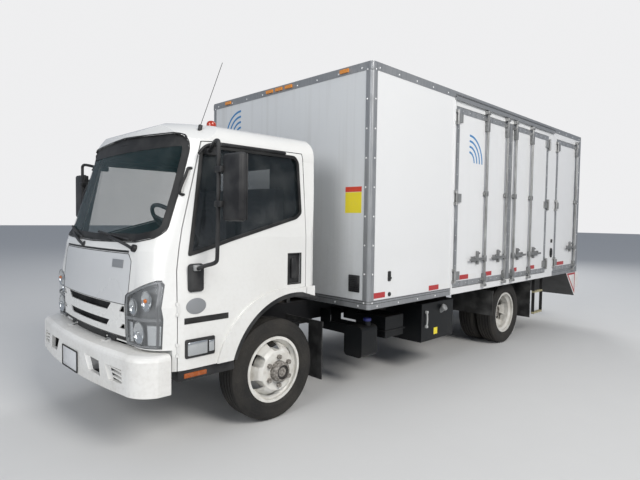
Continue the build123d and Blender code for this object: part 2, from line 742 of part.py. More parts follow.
def flare():
    """The wheel arch's raised lip on the cab's left side."""
    front, middle, end = arch_line(0)
    y = cab_half_width
    back = cab_rear_x + 40
    outer_start = (front[0] + 130, front[1])
    outer_end = (front_axle_x - 130, 1040)
    lines = [ThreePointArc((outer_start[0], y, outer_start[1]), (front_axle_x + 369, y, 912),
                           (outer_end[0], y, outer_end[1])),
             ThreePointArc(*[(x, y, z) for x, z in (front, middle, end)])]
    rest = [outer_end, (back, 1046), (back, 962), end]
    lines += [Line((a[0], y, a[1]), (b[0], y, b[1])) for a, b in zip(rest, rest[1:])]
    lines.append(Line((front[0], y, front[1]), (outer_start[0], y, outer_start[1])))
    return extrude(make_face(lines), amount=flare_depth, dir=(0, 1, 0))


def cab_parts():
    """The cab's shell, doors, glass, lamps and front panel, all cut from one pair of forms."""
    outer = cab_body(0)
    outer_open = cab_body(0, floored=False)
    inner = cab_body(cab_wall) - hump(cab_wall)
    solid = outer - hump(0)
    side_core = cab_body(cab_wall, floored=False)
    side_core_gap = cab_body(cab_wall + cab_door_gap, floored=False)
    glass_out = cab_body(glass_inset, floored=False)
    glass_in = cab_body(glass_inset + glass_thickness, floored=False)
    shell = solid - inner
    nodes = {}
    door_space = side_prism(door_outline(0), 500, 1300)
    door_opening = side_prism(door_outline(cab_door_gap), 500, 1300)
    lip = flare()
    window = rounded_prism([(x, 500, z) for x, z in door_window], (0, 800, 0), door_window_corner)
    leaf = ((door_space & outer) - side_core) + (lip & door_space)
    leaf = leaf - window
    leaf = leaf - block(door_rear_x + 52, door_rear_x + 186, cab_half_width - 25,
                        cab_half_width + 20, 1080, 1317)
    door_halves, shell_halves, door_cuts, shell_cuts = cab_hinges()
    leaf = fuse([leaf - fuse(door_cuts)] + door_halves)
    nodes["cab_door_left"] = leaf
    nodes["door_glass_left"] = (window & glass_out) - glass_in
    nodes["door_glass_right"] = (other_side(window) & glass_out) - glass_in
    nodes["cab_door_right"] = other_side(leaf)
    for opening in both_sides((door_opening & outer_open) - side_core_gap):
        shell = shell - opening
    for piece in both_sides(lip - door_opening):
        shell = shell + piece
    for cut in shell_cuts:
        shell = shell - cut - other_side(cut)
    for half in shell_halves:
        for piece in both_sides(half):
            shell = shell + piece
    screen_edge = [(0, windscreen_low)] + windscreen_half + [(0, windscreen_high)]
    screen_edge += [(-y, z) for y, z in reversed(windscreen_half)]
    screen = rounded_prism([(front_axle_x + 450, y, z) for y, z in screen_edge], (750, 0, 0),
                           windscreen_corner)
    shell = shell - (screen & outer)
    rear_window = block(cab_rear_x - 100, cab_rear_x + 200, -rear_window_half, rear_window_half,
                        rear_window_low, rear_window_high)
    shell = shell - rear_window
    panes = [(screen & glass_out) - glass_in, (rear_window & glass_out) - glass_in]
    nodes["cab_glass"] = panes
    lamp_space = front_prism(lamp_outline, door_front_x + lamp_setback, front_axle_x + 1200)
    lamps = []
    for space in both_sides(lamp_space):
        lamps.append((space & outer) - inner - side_core)
        shell = shell - (space & (outer - side_core))
    panel_edge = front_panel_half + [(-y, z) for y, z in reversed(front_panel_half)]
    panel_space = front_prism(panel_edge, hump_front_x - 50, front_axle_x + 1200)
    panel = (panel_space & outer) - side_core
    shell = shell - (panel_space & (outer - side_core))
    below = block(hump_front_x - 50, front_axle_x + 1200, -front_panel_half[0][0],
                  front_panel_half[0][0], cab_nose_bottom_z - 50, front_panel_half[0][1])
    shell = shell - (below & (outer - cab_body(valance_setback, floored=False)))
    slots = grille_slots()
    mesh = fuse([slot & ((outer - cab_body(44, floored=False)) & cab_body(26, floored=False))
                 for slot in slots])
    for slot in slots:
        panel = panel - slot
    nodes["front_panel"] = panel
    nodes["grille_mesh"] = mesh
    for x, y, radius, height in roof_lamps:
        dome = bar_z(radius, x, y, cab_roof_z - 120, cab_roof_z + height - roof_drop(y))
        dome = fillet(dome.edges().sort_by(Axis.Z)[-1], 0.8 * radius)
        lamps.append(dome - outer)
    nodes["cab_lamps"] = lamps
    for y in (-arm_y, arm_y):
        y_low, y_high = sorted((math.copysign(lug_y - seat_gap, y), math.copysign(lug_y - 40, y)))
        arm = side_prism([(hump_front_x - 90, hump_top_z), (hump_front_x - 12, hump_top_z),
                          (hump_front_x - 12, cab_nose_bottom_z - 12), (tilt_x, tilt_z + lug_radius),
                          (tilt_x, tilt_z - lug_radius), (hump_front_x - 30, tilt_z)], y_low, y_high)
        arm = arm + bar_y(lug_radius, tilt_x, y_low, y_high, tilt_z)
        shell = shell + arm
    nodes["cab_shell"] = shell
    return nodes


arm_y = lug_y


def cab_hinges():
    """The left cab door's hinges in its shut line: the door's barrels, the fixed pairs, and
    the round cut that each set of barrels needs in the skin across the line."""
    door_halves = []
    shell_halves = []
    door_cuts = []
    shell_cuts = []
    y_low = cab_hinge_y - 9
    y_high = cab_hinge_y + 2
    cut_radius = cab_hinge_radius + cab_hinge_relief
    for z in cab_hinge_heights:
        z_low = z - cab_hinge_length / 2
        z_high = z + cab_hinge_length / 2
        web = block(cab_hinge_x - 12, cab_hinge_x, y_low, y_high, z_low, z_high)
        door_halves.append(web + bar_z(cab_hinge_radius, cab_hinge_x, cab_hinge_y, z_low, z_high))
        shell_cuts.append(bar_z(cut_radius, cab_hinge_x, cab_hinge_y, z_low, z_high))
        for end in (-1, 1):
            near = z + end * (cab_hinge_length / 2 + pin_gap)
            low, high = sorted((near, near + end * cab_hinge_end))
            web = block(cab_hinge_x, cab_hinge_x + 12, y_low, y_high, low, high)
            shell_halves.append(web + bar_z(cab_hinge_radius, cab_hinge_x, cab_hinge_y, low, high))
            door_cuts.append(bar_z(cut_radius, cab_hinge_x, cab_hinge_y, low, high))
    return door_halves, shell_halves, door_cuts, shell_cuts


def roof_drop(y):
    """How far the crowned roof has fallen at Y."""
    reach = cab_half_width - 210
    return 56 * (y / reach) ** 2


# Roof lamps: X, Y, radius and height above the roof.
roof_lamps = [
    (front_axle_x + 420, 660, 36, 48),
    (front_axle_x + 420, -660, 36, 48),
    (front_axle_x + 545, 170, 24, 30),
    (front_axle_x + 550, 0, 24, 30),
    (front_axle_x + 545, -170, 24, 30),
]

# Grille slots in the front view: lowest Z, highest Z, half width at the top, half width at the bottom.
grille_rows = [(930, 985, 425, 365), (814, 860, 392, 345)]
grille_outer = (530, 600)


def grille_slots():
    """The dark openings of the grille: two long slots and a small one beside each end."""
    slots = []
    for low, high, top_half, low_half in grille_rows:
        slots.append(front_prism([(-top_half, high), (-low_half, low), (low_half, low), (top_half, high)],
                                 hump_front_x - 20, front_axle_x + 1200))
        for side in (-1, 1):
            corner = [(side * grille_outer[0], low + 6), (side * grille_outer[1], low + 6),
                      (side * grille_outer[1], high - 6), (side * (grille_outer[0] + 40), high - 6)]
            slots.append(front_prism(corner, hump_front_x - 20, front_axle_x + 1200))
    return slots


mirror_y = 1200
mirror_head_width = 205
mirror_head_height = 430
mirror_tube = 13


def cab_mirror():
    """The left door mirror: a bent tube from two feet on the door, and a tall flat head."""
    x = front_axle_x + 706
    low_foot = (front_axle_x + 760, cab_half_width - 10, 1235)
    high_foot = (front_axle_x + 610, cab_half_width - 60, 2035)
    path = FilletPolyline(low_foot, (x + 10, mirror_y, 1330), (x, mirror_y, 2080), high_foot, radius=60)
    start = path.position_at(0)
    along = path.tangent_at(0)
    tube = sweep(Plane(origin=start, z_dir=along) * Circle(mirror_tube), path=path)
    head = block(x - 62, x - 8, mirror_y + 26, mirror_y + 26 + mirror_head_width, 1570,
                 1570 + mirror_head_height)
    head = fillet(head.edges(), 14)
    clamp_low = block(x - 40, x + 8, mirror_y - 18, mirror_y + 40, 1660, 1700)
    clamp_high = block(x - 40, x + 8, mirror_y - 18, mirror_y + 40, 1880, 1920)
    foot = block(front_axle_x + 690, front_axle_x + 805, cab_half_width - 120, cab_half_width + 22,
                 1095, 1285)
    top_foot = block(front_axle_x + 560, front_axle_x + 640, cab_half_width - 130, cab_half_width - 20,
                     2005, 2065)
    return fuse([tube, head, clamp_low, clamp_high, foot, top_foot]) - cab_body(0, floored=False)


dash_low = 1180
dash_top = 1400
seat_base_z = 1060
dash_door_gap = 12
door_swing = 165


def cab_inside():
    """Dashboard with the steering wheel on its column, and the seats on the platform."""
    inner = cab_body(cab_wall + seat_gap) - hump(cab_wall + seat_gap)
    dash_form = block(front_axle_x + 760, front_axle_x + 1100, -1000, 1000, dash_low, dash_top)
    door_clear = cab_half_width - cab_wall - 2 * cab_door_gap - dash_door_gap
    behind_door = block(front_axle_x, door_front_x + 3 * cab_door_gap, -door_clear, door_clear, 0, 3000)
    ahead_of_door = block(door_front_x + 3 * cab_door_gap, nose_x, -1300, 1300, 0, 3000)
    dash = (dash_form & inner & behind_door) + (dash_form & inner & ahead_of_door)
    column = Vector(front_axle_x + 800, steer_wheel_y, dash_top - 60)
    hub_at = Vector(front_axle_x + 600, steer_wheel_y, 1520)
    run = hub_at - column
    plane = Plane(origin=column, z_dir=run)
    post = plane * Pos(0, 0, run.length / 2) * Cylinder(28, run.length)
    rim_ring = Plane(origin=hub_at, z_dir=run) * Torus(215, 15)
    boss = Plane(origin=hub_at, z_dir=run) * Cylinder(60, 30)
    spokes = [Plane(origin=hub_at, z_dir=run) * Rot(0, 0, turn) * Pos(110, 0, 0) * Box(210, 34, 16)
              for turn in (0, 120, 240)]
    swing = bar_z(door_swing, cab_hinge_x, cab_hinge_y, dash_low - 1, dash_top + 1)
    dash = dash - swing - other_side(swing)
    dash = fuse([dash, post, rim_ring, boss] + spokes)
    seats = []
    for y, half in ((430, 240), (-360, 330)):
        x_back = cab_rear_x + cab_wall + 60
        base = block(x_back + 20, x_back + 300, y - half + 40, y + half - 40, seat_base_z - 60, 1184)
        base = base & inner
        cushion = fillet(block(x_back, x_back + 480, y - half, y + half, 1180, 1300).edges(), 30)
        back_rest = side_prism([(x_back - 30, 1290), (x_back + 110, 1270), (x_back + 60, 1860),
                                (x_back - 30, 1860)], y - half + 10, y + half - 10)
        seats.append(fuse([base, cushion, back_rest]))
    return dash, seats


steer_wheel_y = 430


def box_form(inset):
    return block(box_rear_x + inset, box_front_x - inset, inset - box_half_width,
                 box_half_width - inset, box_bottom_z + inset, box_top_z - inset)


def body_rails():
    """The box's edge extrusions: corner posts, top rails, bottom rails, gutter and rear frame."""
    ring = fillet(box_form(0).edges().filter_by(Axis.Z).sort_by(Axis.X)[-2:], 30)
    ring = ring - box_form(rail_depth)
    ring = ring - block(box_rear_x - 1, box_rear_x + rail_depth + 1, -rear_opening_half,
                        rear_opening_half, floor_top_z, rear_opening_top)
    windows = []
    low = box_bottom_z + sill_height
    high = box_top_z - rail_face
    windows.append(block(box_rear_x + rail_face, box_front_x - rail_face, -2000, 2000, low, high))
    windows.append(block(box_rear_x + rail_face, 9000, rail_face - box_half_width,
                         box_half_width - rail_face, low, high))
    windows.append(block(box_rear_x + rail_face, box_front_x - rail_face,
                         rail_face - box_half_width, box_half_width - rail_face, 0, 9000))
    # The left bottom rail stops where the door section begins and starts again beside the rear door.
    windows.append(block(post_rear_x, door_section_front_x, box_half_width - 100, 2000,
                         box_bottom_z - 1, low + 1))
    rails = ring
    for window in windows:
        rails = rails - window
    gutter = block(gutter_rear_x, door_section_front_x, box_half_width, box_half_width + 22,
                   box_top_z - 92, box_top_z - 68)
    gutter = gutter + block(gutter_rear_x, door_section_front_x, box_half_width + 16,
                            box_half_width + 22, box_top_z - 92, box_top_z - 48)
    gutter = gutter - panel_band()
    return rails + gutter


def panel_band():
    return block(box_rear_x, box_front_x, -box_half_width, box_half_width, box_bottom_z, box_top_z)


door_section_front_x = front_axle_x - 2135
door_left_x = front_axle_x - 2180
door_right_x = front_axle_x - 4660
door_meet_x = front_axle_x - 3450
door_low_z = 890
door_high_z = 2782
post_rear_x = front_axle_x - 4940
small_door_front_x = front_axle_x - 4975
small_door_rear_x = front_axle_x - 5800
gutter_rear_x = front_axle_x - 4830
curb_door_front_x = front_axle_x - 930
curb_door_rear_x = front_axle_x - 2040
curb_door_low_z = 945
curb_door_high_z = 2560
floor_low_z = 885
floor_top_z = floor_low_z + floor_thickness
rear_opening_half = 1150
rear_opening_top = 2850
bulkhead_x = front_axle_x - 2150


def opening(front_x, rear_x, low, high, side, gap):
    """The cut for a side door, gap wider than the leaf all round."""
    y_low, y_high = sorted((side * (box_half_width - 120), side * (box_half_width + 120)))
    return block(rear_x - gap, front_x + gap, y_low, y_high, low - gap, high + gap)


def body_walls():
    """Front wall, side walls and roof, each a flat panel let in behind the rails."""
    rails = body_rails()
    low = box_bottom_z + sill_height
    high = box_top_z - rail_face
    reach = box_half_width - rail_face
    front = block(box_front_x - panel_setback - panel_thickness, box_front_x - panel_setback,
                  -reach, reach, low, high)
    roof = block(box_rear_x + rail_face, box_front_x - rail_face, -reach, reach,
                 box_top_z - panel_setback - panel_thickness, box_top_z - panel_setback)
    nodes = {}
    for name, side in (("left", 1), ("right", -1)):
        y_low, y_high = sorted((side * (box_half_width - panel_setback - panel_thickness),
                                side * (box_half_width - panel_setback)))
        slab = block(box_rear_x + rail_face, box_front_x - rail_face, y_low, y_high, low, high)
        if side == 1:
            slab = slab + block(post_rear_x, door_section_front_x, y_low, y_high, box_bottom_z, low)
            slab = slab - opening(door_left_x, door_right_x, door_low_z, door_high_z, 1, swing_gap)
            slab = slab - opening(small_door_front_x, small_door_rear_x, door_low_z, door_high_z, 1,
                                  swing_gap)
            slab = slab + keepers()
        else:
            slab = slab - opening(curb_door_front_x, curb_door_rear_x, curb_door_low_z,
                                  curb_door_high_z, -1, swing_gap)
        nodes["body_side_" + name] = slab - rails
    nodes["body_front_wall"] = front
    nodes["body_roof"] = roof
    nodes["body_rails"] = rails
    return nodes


# Lock rods of the left doors, X of each rod and the way its handle points.
front_leaf_rods = [(front_axle_x - 2820, 1), (front_axle_x - 3330, 1)]
rear_leaf_rods = [(front_axle_x - 3565, -1), (front_axle_x - 4060, -1)]
small_door_rods = [(front_axle_x - 5745, 1)]
curb_door_rods = [(front_axle_x - 1070, -1)]
rod_low_z = 852
rod_high_z = 2826
keeper_width = 14


def keepers():
    """Cam keepers on the sill and header, a pair of ears beside each end of every lock rod."""
    ears = []
    y_low = box_half_width - panel_setback
    y_high = box_half_width + rod_standoff + rod_radius
    for x, way in front_leaf_rods + rear_leaf_rods + small_door_rods:
        for z_low, z_high in ((rod_low_z - 2, door_low_z - swing_gap - 4),
                              (door_high_z + swing_gap + 4, rod_high_z + 2)):
            for side in (-1, 1):
                x_a, x_b = sorted((x + side * (rod_radius + swing_gap),
                                   x + side * (rod_radius + swing_gap + keeper_width)))
                ears.append(block(x_a, x_b, y_low, y_high, z_low, z_high))
    return fuse(ears)


def leaf(front_x, rear_x, low, high, rods, hinge_at_front, hinge_heights, rod_ends, handle_z):
    """A left-hand body door: framed panel, lock rods with handles, and its hinge straps."""
    y_out = box_half_width
    y_in = y_out - door_thickness
    panel = block(rear_x, front_x, y_in, y_out, low, high)
    edge = leaf_edge
    face = block(rear_x + edge, front_x - edge, y_out - 4, y_out + 1, low + edge, high - edge)
    back = block(rear_x + edge, front_x - edge, y_in - 1, y_in + 6, low + edge, high - edge)
    pieces = [panel - face - back]
    rod_y = y_out + rod_standoff
    for x, way in rods:
        pieces.append(bar_z(rod_radius, x, rod_y, rod_ends[0], rod_ends[1]))
        guides = (low + 45, (low + high) / 2 + 70, high - 45)
        for z in guides:
            pieces.append(block(x - 34, x + 34, y_out - 4, rod_y, z - 16, z + 16))
        handle_end = x + way * handle_length
        x_a, x_b = sorted((x, handle_end))
        pieces.append(block(x_a, x_b, rod_y - 4, rod_y + 12, handle_z - 14, handle_z + 14))
        x_c, x_d = sorted((handle_end, handle_end - way * 40))
        pieces.append(block(x_c, x_d, y_out - 4, rod_y, handle_z - 30, handle_z + 30))
    hinge_x = front_x + swing_gap / 2 if hinge_at_front else rear_x - swing_gap / 2
    way = -1 if hinge_at_front else 1
    for z in hinge_heights:
        barrel = bar_z(hinge_radius, hinge_x, y_out + hinge_offset, z - hinge_length / 2,
                       z + hinge_length / 2)
        x_a, x_b = sorted((hinge_x, hinge_x + way * strap_length))
        strap = block(x_a, x_b, y_out + hinge_offset - hinge_radius, y_out + hinge_offset
                      - hinge_radius + 6, z - hinge_length / 2, z + hinge_length / 2)
        seat_a, seat_b = sorted((hinge_x + way * 24, hinge_x + way * strap_length))
        pad = block(seat_a, seat_b, y_out - 4, y_out + hinge_offset - hinge_radius + 2,
                    z - hinge_length / 2, z + hinge_length / 2)
        pieces += [barrel, strap, pad]
    return fuse(pieces)


leaf_edge = 60
handle_length = 270
strap_length = 110


def hinge_posts(hinge_x, hinge_heights, way):
    """The fixed halves of a row of hinges: barrels above and below the door's own barrel."""
    pieces = []
    y_axis = box_half_width + hinge_offset
    for z in hinge_heights:
        for end in (-1, 1):
            z_a = z + end * (hinge_length / 2 + pin_gap)
            z_b = z_a + end * 30
            z_low, z_high = sorted((z_a, z_b))
            barrel = bar_z(hinge_radius, hinge_x, y_axis, z_low, z_high)
            x_a, x_b = sorted((hinge_x, hinge_x + way * 46))
            foot = block(x_a, x_b, y_axis - hinge_radius, y_axis - hinge_radius + 6, z_low, z_high)
            seat_a, seat_b = sorted((hinge_x + way * 12, hinge_x + way * 46))
            pad = block(seat_a, seat_b, box_half_width - panel_setback, y_axis - hinge_radius + 2,
                        z_low, z_high)
            pieces.append(fuse([barrel, foot, pad]))
    return pieces


hinge_heights = (1010, 1835, 2670)
curb_hinge_heights = (1060, 1760, 2460)


def side_doors():
    """The left double doors, the small door at the rear left and the kerb side loading door."""
    rod_ends = (rod_low_z, rod_high_z)
    front_leaf = leaf(door_left_x, door_meet_x + swing_gap / 2, door_low_z, door_high_z,
                      front_leaf_rods, True, hinge_heights, rod_ends, 1170)
    rear_leaf = leaf(door_meet_x - swing_gap / 2, door_right_x, door_low_z, door_high_z,
                     rear_leaf_rods, False, hinge_heights, rod_ends, 1170)
    small = leaf(small_door_front_x, small_door_rear_x, door_low_z, door_high_z, small_door_rods,
                 True, hinge_heights, rod_ends, 1210)
    curb_ends = (curb_door_low_z + 6, curb_door_high_z - 6)
    curb = leaf(curb_door_front_x, curb_door_rear_x, curb_door_low_z, curb_door_high_z,
                curb_door_rods, False, curb_hinge_heights, curb_ends, 1210)
    return front_leaf, rear_leaf, small, other_side(curb)


def fixed_hinges():
    """Every fixed hinge half on the box's sides."""
    near = swing_gap / 2
    left = hinge_posts(door_left_x + near, hinge_heights, 1)
    left += hinge_posts(door_right_x - near, hinge_heights, -1)
    left += hinge_posts(small_door_front_x + near, hinge_heights, 1)
    right = hinge_posts(curb_door_rear_x - near, curb_hinge_heights, -1)
    return left, [other_side(piece) for piece in right]


rear_rods = (320, 900)
rear_hinge_heights = (1080, 1880, 2680)


def rear_door():
    """The left rear door: framed panel, two lock rods, and hinges at the box's corner."""
    x_out = box_rear_x
    x_in = x_out + door_thickness
    y_low = swing_gap / 2
    y_high = rear_opening_half - swing_gap
    low = floor_top_z + swing_gap
    high = rear_opening_top - swing_gap
    edge = leaf_edge
    panel = block(x_out, x_in, y_low, y_high, low, high)
    panel = panel - block(x_out - 1, x_out + 4, y_low + edge, y_high - edge, low + edge, high - edge)
    panel = panel - block(x_in - 6, x_in + 1, y_low + edge, y_high - edge, low + edge, high - edge)
    pieces = [panel]
    rod_x = x_out - rod_standoff
    for y in rear_rods:
        pieces.append(bar_z(rod_radius, rod_x, y, low + 6, high - 6))
        for z in (low + 60, (low + high) / 2, high - 60):
            pieces.append(block(rod_x, x_out + 4, y - 34, y + 34, z - 16, z + 16))
        pieces.append(block(rod_x - 12, rod_x + 4, y - 230, y, 1236, 1264))
        pieces.append(block(rod_x, x_out + 4, y - 230, y - 190, 1220, 1280))
    axis_x = x_out - hinge_offset
    axis_y = rear_opening_half - swing_gap / 2
    for z in rear_hinge_heights:
        z_low = z - hinge_length / 2
        z_high = z + hinge_length / 2
        pieces.append(bar_z(hinge_radius, axis_x, axis_y, z_low, z_high))
        pieces.append(block(axis_x + hinge_radius - 6, axis_x + hinge_radius, axis_y - strap_length,
                            axis_y, z_low, z_high))
        pieces.append(block(axis_x + hinge_radius - 2, x_out + 4, axis_y - strap_length, axis_y - 24,
                            z_low, z_high))
    return fuse(pieces)


def rear_hinges():
    """The fixed halves of the rear doors' hinges, on the rear corner posts."""
    pieces = []
    axis_x = box_rear_x - hinge_offset
    axis_y = rear_opening_half - swing_gap / 2
    for z in rear_hinge_heights:
        for end in (-1, 1):
            z_a = z + end * (hinge_length / 2 + pin_gap)
            z_low, z_high = sorted((z_a, z_a + end * 30))
            barrel = bar_z(hinge_radius, axis_x, axis_y, z_low, z_high)
            foot = block(axis_x + hinge_radius - 6, axis_x + hinge_radius, axis_y, axis_y + 50,
                         z_low, z_high)
            pad = block(axis_x + hinge_radius - 2, box_rear_x, axis_y + 12, axis_y + 50, z_low, z_high)
            pieces.append(fuse([barrel, foot, pad]))
    return pieces


sill_spacing = 480
sill_low_z = box_bottom_z + 5


def body_floor():
    """The floor plate on cross sills and two runners that rest on the frame rails."""
    inner_y = box_half_width - door_thickness - swing_gap
    plate = block(box_rear_x + door_thickness + swing_gap, box_front_x - rail_depth, -inner_y, inner_y,
                  floor_low_z, floor_top_z)
    pieces = [plate]
    outer = frame_width / 2
    for y_low in (outer - rail_flange, -outer):
        pieces.append(block(box_rear_x + 60, box_front_x - 60, y_low, y_low + rail_flange, rail_top,
                            floor_low_z))
    sill_y = box_half_width - rail_depth
    sills = int((box_length - 300) / sill_spacing)
    step = (box_length - 300) / sills
    for row in range(sills + 1):
        x = box_rear_x + 150 + row * step
        pieces.append(block(x - 30, x + 30, -sill_y, sill_y, sill_low_z, floor_low_z))
    return fuse(pieces)


shredder_low_y = -150
shredder_high_y = 1120
lift_x_half = 330
lift_x = (curb_door_front_x + curb_door_rear_x) / 2
mast_y = -190


def bay_parts():
    """What the kerb side door opens on: bulkhead, shredder with hopper, lift mast and carriage."""
    inner_y = box_half_width - rail_depth
    top = box_top_z - rail_depth
    wall = block(bulkhead_x - 20, bulkhead_x + 20, -inner_y, inner_y, floor_top_z, top)
    front_x = box_front_x - 120
    back_x = bulkhead_x + 60
    base = block(back_x, front_x, shredder_low_y, shredder_high_y, floor_top_z, 1750)
    hopper = loft([Pos((back_x + front_x) / 2, (shredder_low_y + shredder_high_y) / 2, 1750)
                   * Rectangle(front_x - back_x - 160, shredder_high_y - shredder_low_y - 160),
                   Pos((back_x + front_x) / 2, (shredder_low_y + shredder_high_y) / 2, 2350)
                   * Rectangle(front_x - back_x, shredder_high_y - shredder_low_y)], ruled=True)
    mouth = loft([Pos((back_x + front_x) / 2, (shredder_low_y + shredder_high_y) / 2, 1790)
                  * Rectangle(front_x - back_x - 190, shredder_high_y - shredder_low_y - 190),
                  Pos((back_x + front_x) / 2, (shredder_low_y + shredder_high_y) / 2, 2351)
                  * Rectangle(front_x - back_x - 16, shredder_high_y - shredder_low_y - 16)], ruled=True)
    unit = base + (hopper - mouth)
    mast = []
    for side in (-1, 1):
        x = lift_x + side * lift_x_half
        post = block(x - 30, x + 30, mast_y - 50, shredder_low_y, floor_top_z, 2350)
        x_a, x_b = sorted((x - side * 30, x - side * 12))
        groove = block(x_a - 1, x_b + 1, mast_y - 30, mast_y - 8, floor_top_z - 1, 2400)
        mast.append(post - groove)
    carriage = lift_carriage()
    return wall, unit, mast, carriage


lift_start_z = 960
lift_travel = 1150


def lift_carriage():
    """The bin lift's carriage: a comb plate with two forks and shoes that run in the mast's grooves."""
    plate_half = lift_x_half - 30 - 10
    plate = block(lift_x - plate_half, lift_x + plate_half, mast_y - 62, mast_y - 50, lift_start_z,
                  lift_start_z + 200)
    back = block(lift_x - plate_half, lift_x + plate_half, mast_y - 50, mast_y - 34,
                 lift_start_z, lift_start_z + 60)
    pieces = [plate, back]
    for side in (-1, 1):
        x_a, x_b = sorted((lift_x + side * (plate_half - 30), lift_x + side * (lift_x_half - 12 - pin_gap)))
        pieces.append(block(x_a, x_b, mast_y - 30 + pin_gap, mast_y - 8 - pin_gap, lift_start_z,
                            lift_start_z + 200))
        x_c, x_d = sorted((lift_x + side * (plate_half - 30), lift_x + side * plate_half))
        pieces.append(block(x_c, x_d, mast_y - 62, mast_y - 8 - pin_gap, lift_start_z,
                            lift_start_z + 200))
        pieces.append(block(lift_x + side * 170 - 25, lift_x + side * 170 + 25, mast_y - 62 - 420,
                            mast_y - 50, lift_start_z, lift_start_z + 30))
    return fuse(pieces)


def tank(x_low, x_high, y_low, y_high, z_low, z_high, corner):
    """A box tank with its long edges rounded, hung from the frame by two brackets."""
    body = block(x_low, x_high, y_low, y_high, z_low, z_high)
    return fillet(body.edges().filter_by(Axis.X), corner)


def rail_bracket(x, y_reach, z_low, z_high, side):
    """A plate bracket from the rail's outer face out to a tank's inner face."""
    y_a, y_b = sorted((side * frame_width / 2, side * y_reach))
    return block(x - 4, x + 4, y_a, y_b, z_low, z_high)


# Tanks and boxes beside the frame, X counted back from the front axle:
# front X, rear X, inner Y, outer Y, low Z, high Z, corner radius.
def_tank_size = (970, 1195, 780, 1000, 310, 600, 40)
hydraulic_size = (1790, 2400, 640, 1100, 340, 740, 8)
fuel_size = (1850, 2650, -1040, -560, 360, 730, 60)
battery_size = (1320, 1610, 620, 1000, 445, 650)
battery_lid = (1305, 1625, 610, 1012, 505, 517)
# Upright filler necks: radius, X back, Y, low Z, high Z.
def_neck = (34, 1110, 945, 590, 640)
hydraulic_neck = (45, 2330, 900, 730, 775)
# Brackets between a tank and the frame: X back, outer Y, low Z, high Z.
def_brackets = [(1160, 800, 500, 590), (1160, 560, 590, 700), (1010, 800, 500, 590), (1010, 560, 590, 700)]
battery_brackets = [(1580, 640, 560, 690), (1350, 640, 560, 690)]
hydraulic_brackets = [(2360, 660, 620, 720), (1850, 660, 620, 720)]
fuel_brackets = [(2550, 580, 620, 720), (1950, 580, 620, 720)]
exhaust_hangers = [(1400, 600, 615, 700), (900, 600, 615, 700)]
fuel_cap = (45, 2450, -1075, -1030, 640)
exhaust_y = -660
exhaust_z = 560
exhaust_pipe_radius = 38
muffler_radius = 135
muffler_front = 760
muffler_rear = 1600
manifold_x = 538
tail_pipe_x = 1740
tail_pipe_end_y = -1080
cleaner_radius = 150
cleaner_x = 585
cleaner_z = 1230
cleaner_y = (60, 450)
cleaner_inlet = (60, -10, 70)
cleaner_stand = (560, 600, 8, 40, 1110)
flap_thickness = 10
flap_arm = (11, 40)


def tank_on_brackets(size, brackets, side):
    """A tank with the brackets that hold it to the frame's side."""
    front, rear, inner, outer, low, high = size[:6]
    if len(size) == 7:
        body = tank(front_axle_x - rear, front_axle_x - front, inner, outer, low, high, size[6])
    else:
        body = block(front_axle_x - rear, front_axle_x - front, inner, outer, low, high)
    for back, reach, z_low, z_high in brackets:
        body = body + rail_bracket(front_axle_x - back, reach, z_low, z_high, side)
    return body


def under_body():
    """Tanks, battery box, exhaust, air cleaner and mudflaps."""
    nodes = {}
    radius, back, y, low, high = def_neck
    def_tank = tank_on_brackets(def_tank_size, def_brackets, 1) + bar_z(radius, front_axle_x - back, y, low, high)
    nodes["def_tank"] = def_tank - frame_space()
    lid = tank_on_brackets(battery_lid, [], 1)
    nodes["battery_box"] = tank_on_brackets(battery_size, battery_brackets, 1) + lid
    radius, back, y, low, high = hydraulic_neck
    nodes["hydraulic_tank"] = (tank_on_brackets(hydraulic_size, hydraulic_brackets, 1)
                               + bar_z(radius, front_axle_x - back, y, low, high))
    radius, back, y_low, y_high, z = fuel_cap
    nodes["fuel_tank"] = (tank_on_brackets(fuel_size, fuel_brackets, -1)
                          + bar_y(radius, front_axle_x - back, y_low, y_high, z))
    nodes["exhaust"] = exhaust()
    low, high = cleaner_y
    cleaner = bar_y(cleaner_radius, front_axle_x - cleaner_x, low, high, cleaner_z)
    radius, low, high = cleaner_inlet
    cleaner = cleaner + bar_y(radius, front_axle_x - cleaner_x, low, high, cleaner_z)
    front, rear, outer, inner, top = cleaner_stand
    nodes["air_cleaner"] = cleaner + block(front_axle_x - rear, front_axle_x - front, frame_width / 2 - inner,
                                           frame_width / 2 - outer, rail_top, top)
    flaps = []
    for x, z_low, z_high, y_low, y_high in flap_rows:
        face = x - flap_thickness / 2
        flap = block(face, face + flap_thickness, y_low, y_high, z_low, z_high)
        arm = block(face - flap_arm[0], face, frame_width / 2, y_high, z_high - flap_arm[1], z_high)
        flaps += both_sides(flap + arm)
    nodes["mudflaps"] = flaps
    return nodes


def exhaust():
    """The silencer on its hangers, with the pipe from the engine and the side outlet."""
    radius = exhaust_pipe_radius
    rear_end = front_axle_x - muffler_rear
    front_end = front_axle_x - muffler_front
    outlet_x = front_axle_x - tail_pipe_x
    inlet_x = front_axle_x - manifold_x
    muffler = bar_x(muffler_radius, rear_end, front_end, exhaust_y, exhaust_z)
    pipe = bar_x(radius, front_end, inlet_x + radius, exhaust_y, exhaust_z)
    cross = bar_y(radius, inlet_x, exhaust_y, -engine_half_width - 1 - seat_gap, exhaust_z)
    tail = bar_x(radius, outlet_x, rear_end, exhaust_y, exhaust_z)
    outlet = bar_y(radius, outlet_x, tail_pipe_end_y, exhaust_y + radius / 2, exhaust_z)
    hangers = [rail_bracket(front_axle_x - back, reach, low, high, -1)
               for back, reach, low, high in exhaust_hangers]
    return fuse([muffler, pipe, cross, tail, outlet] + hangers)


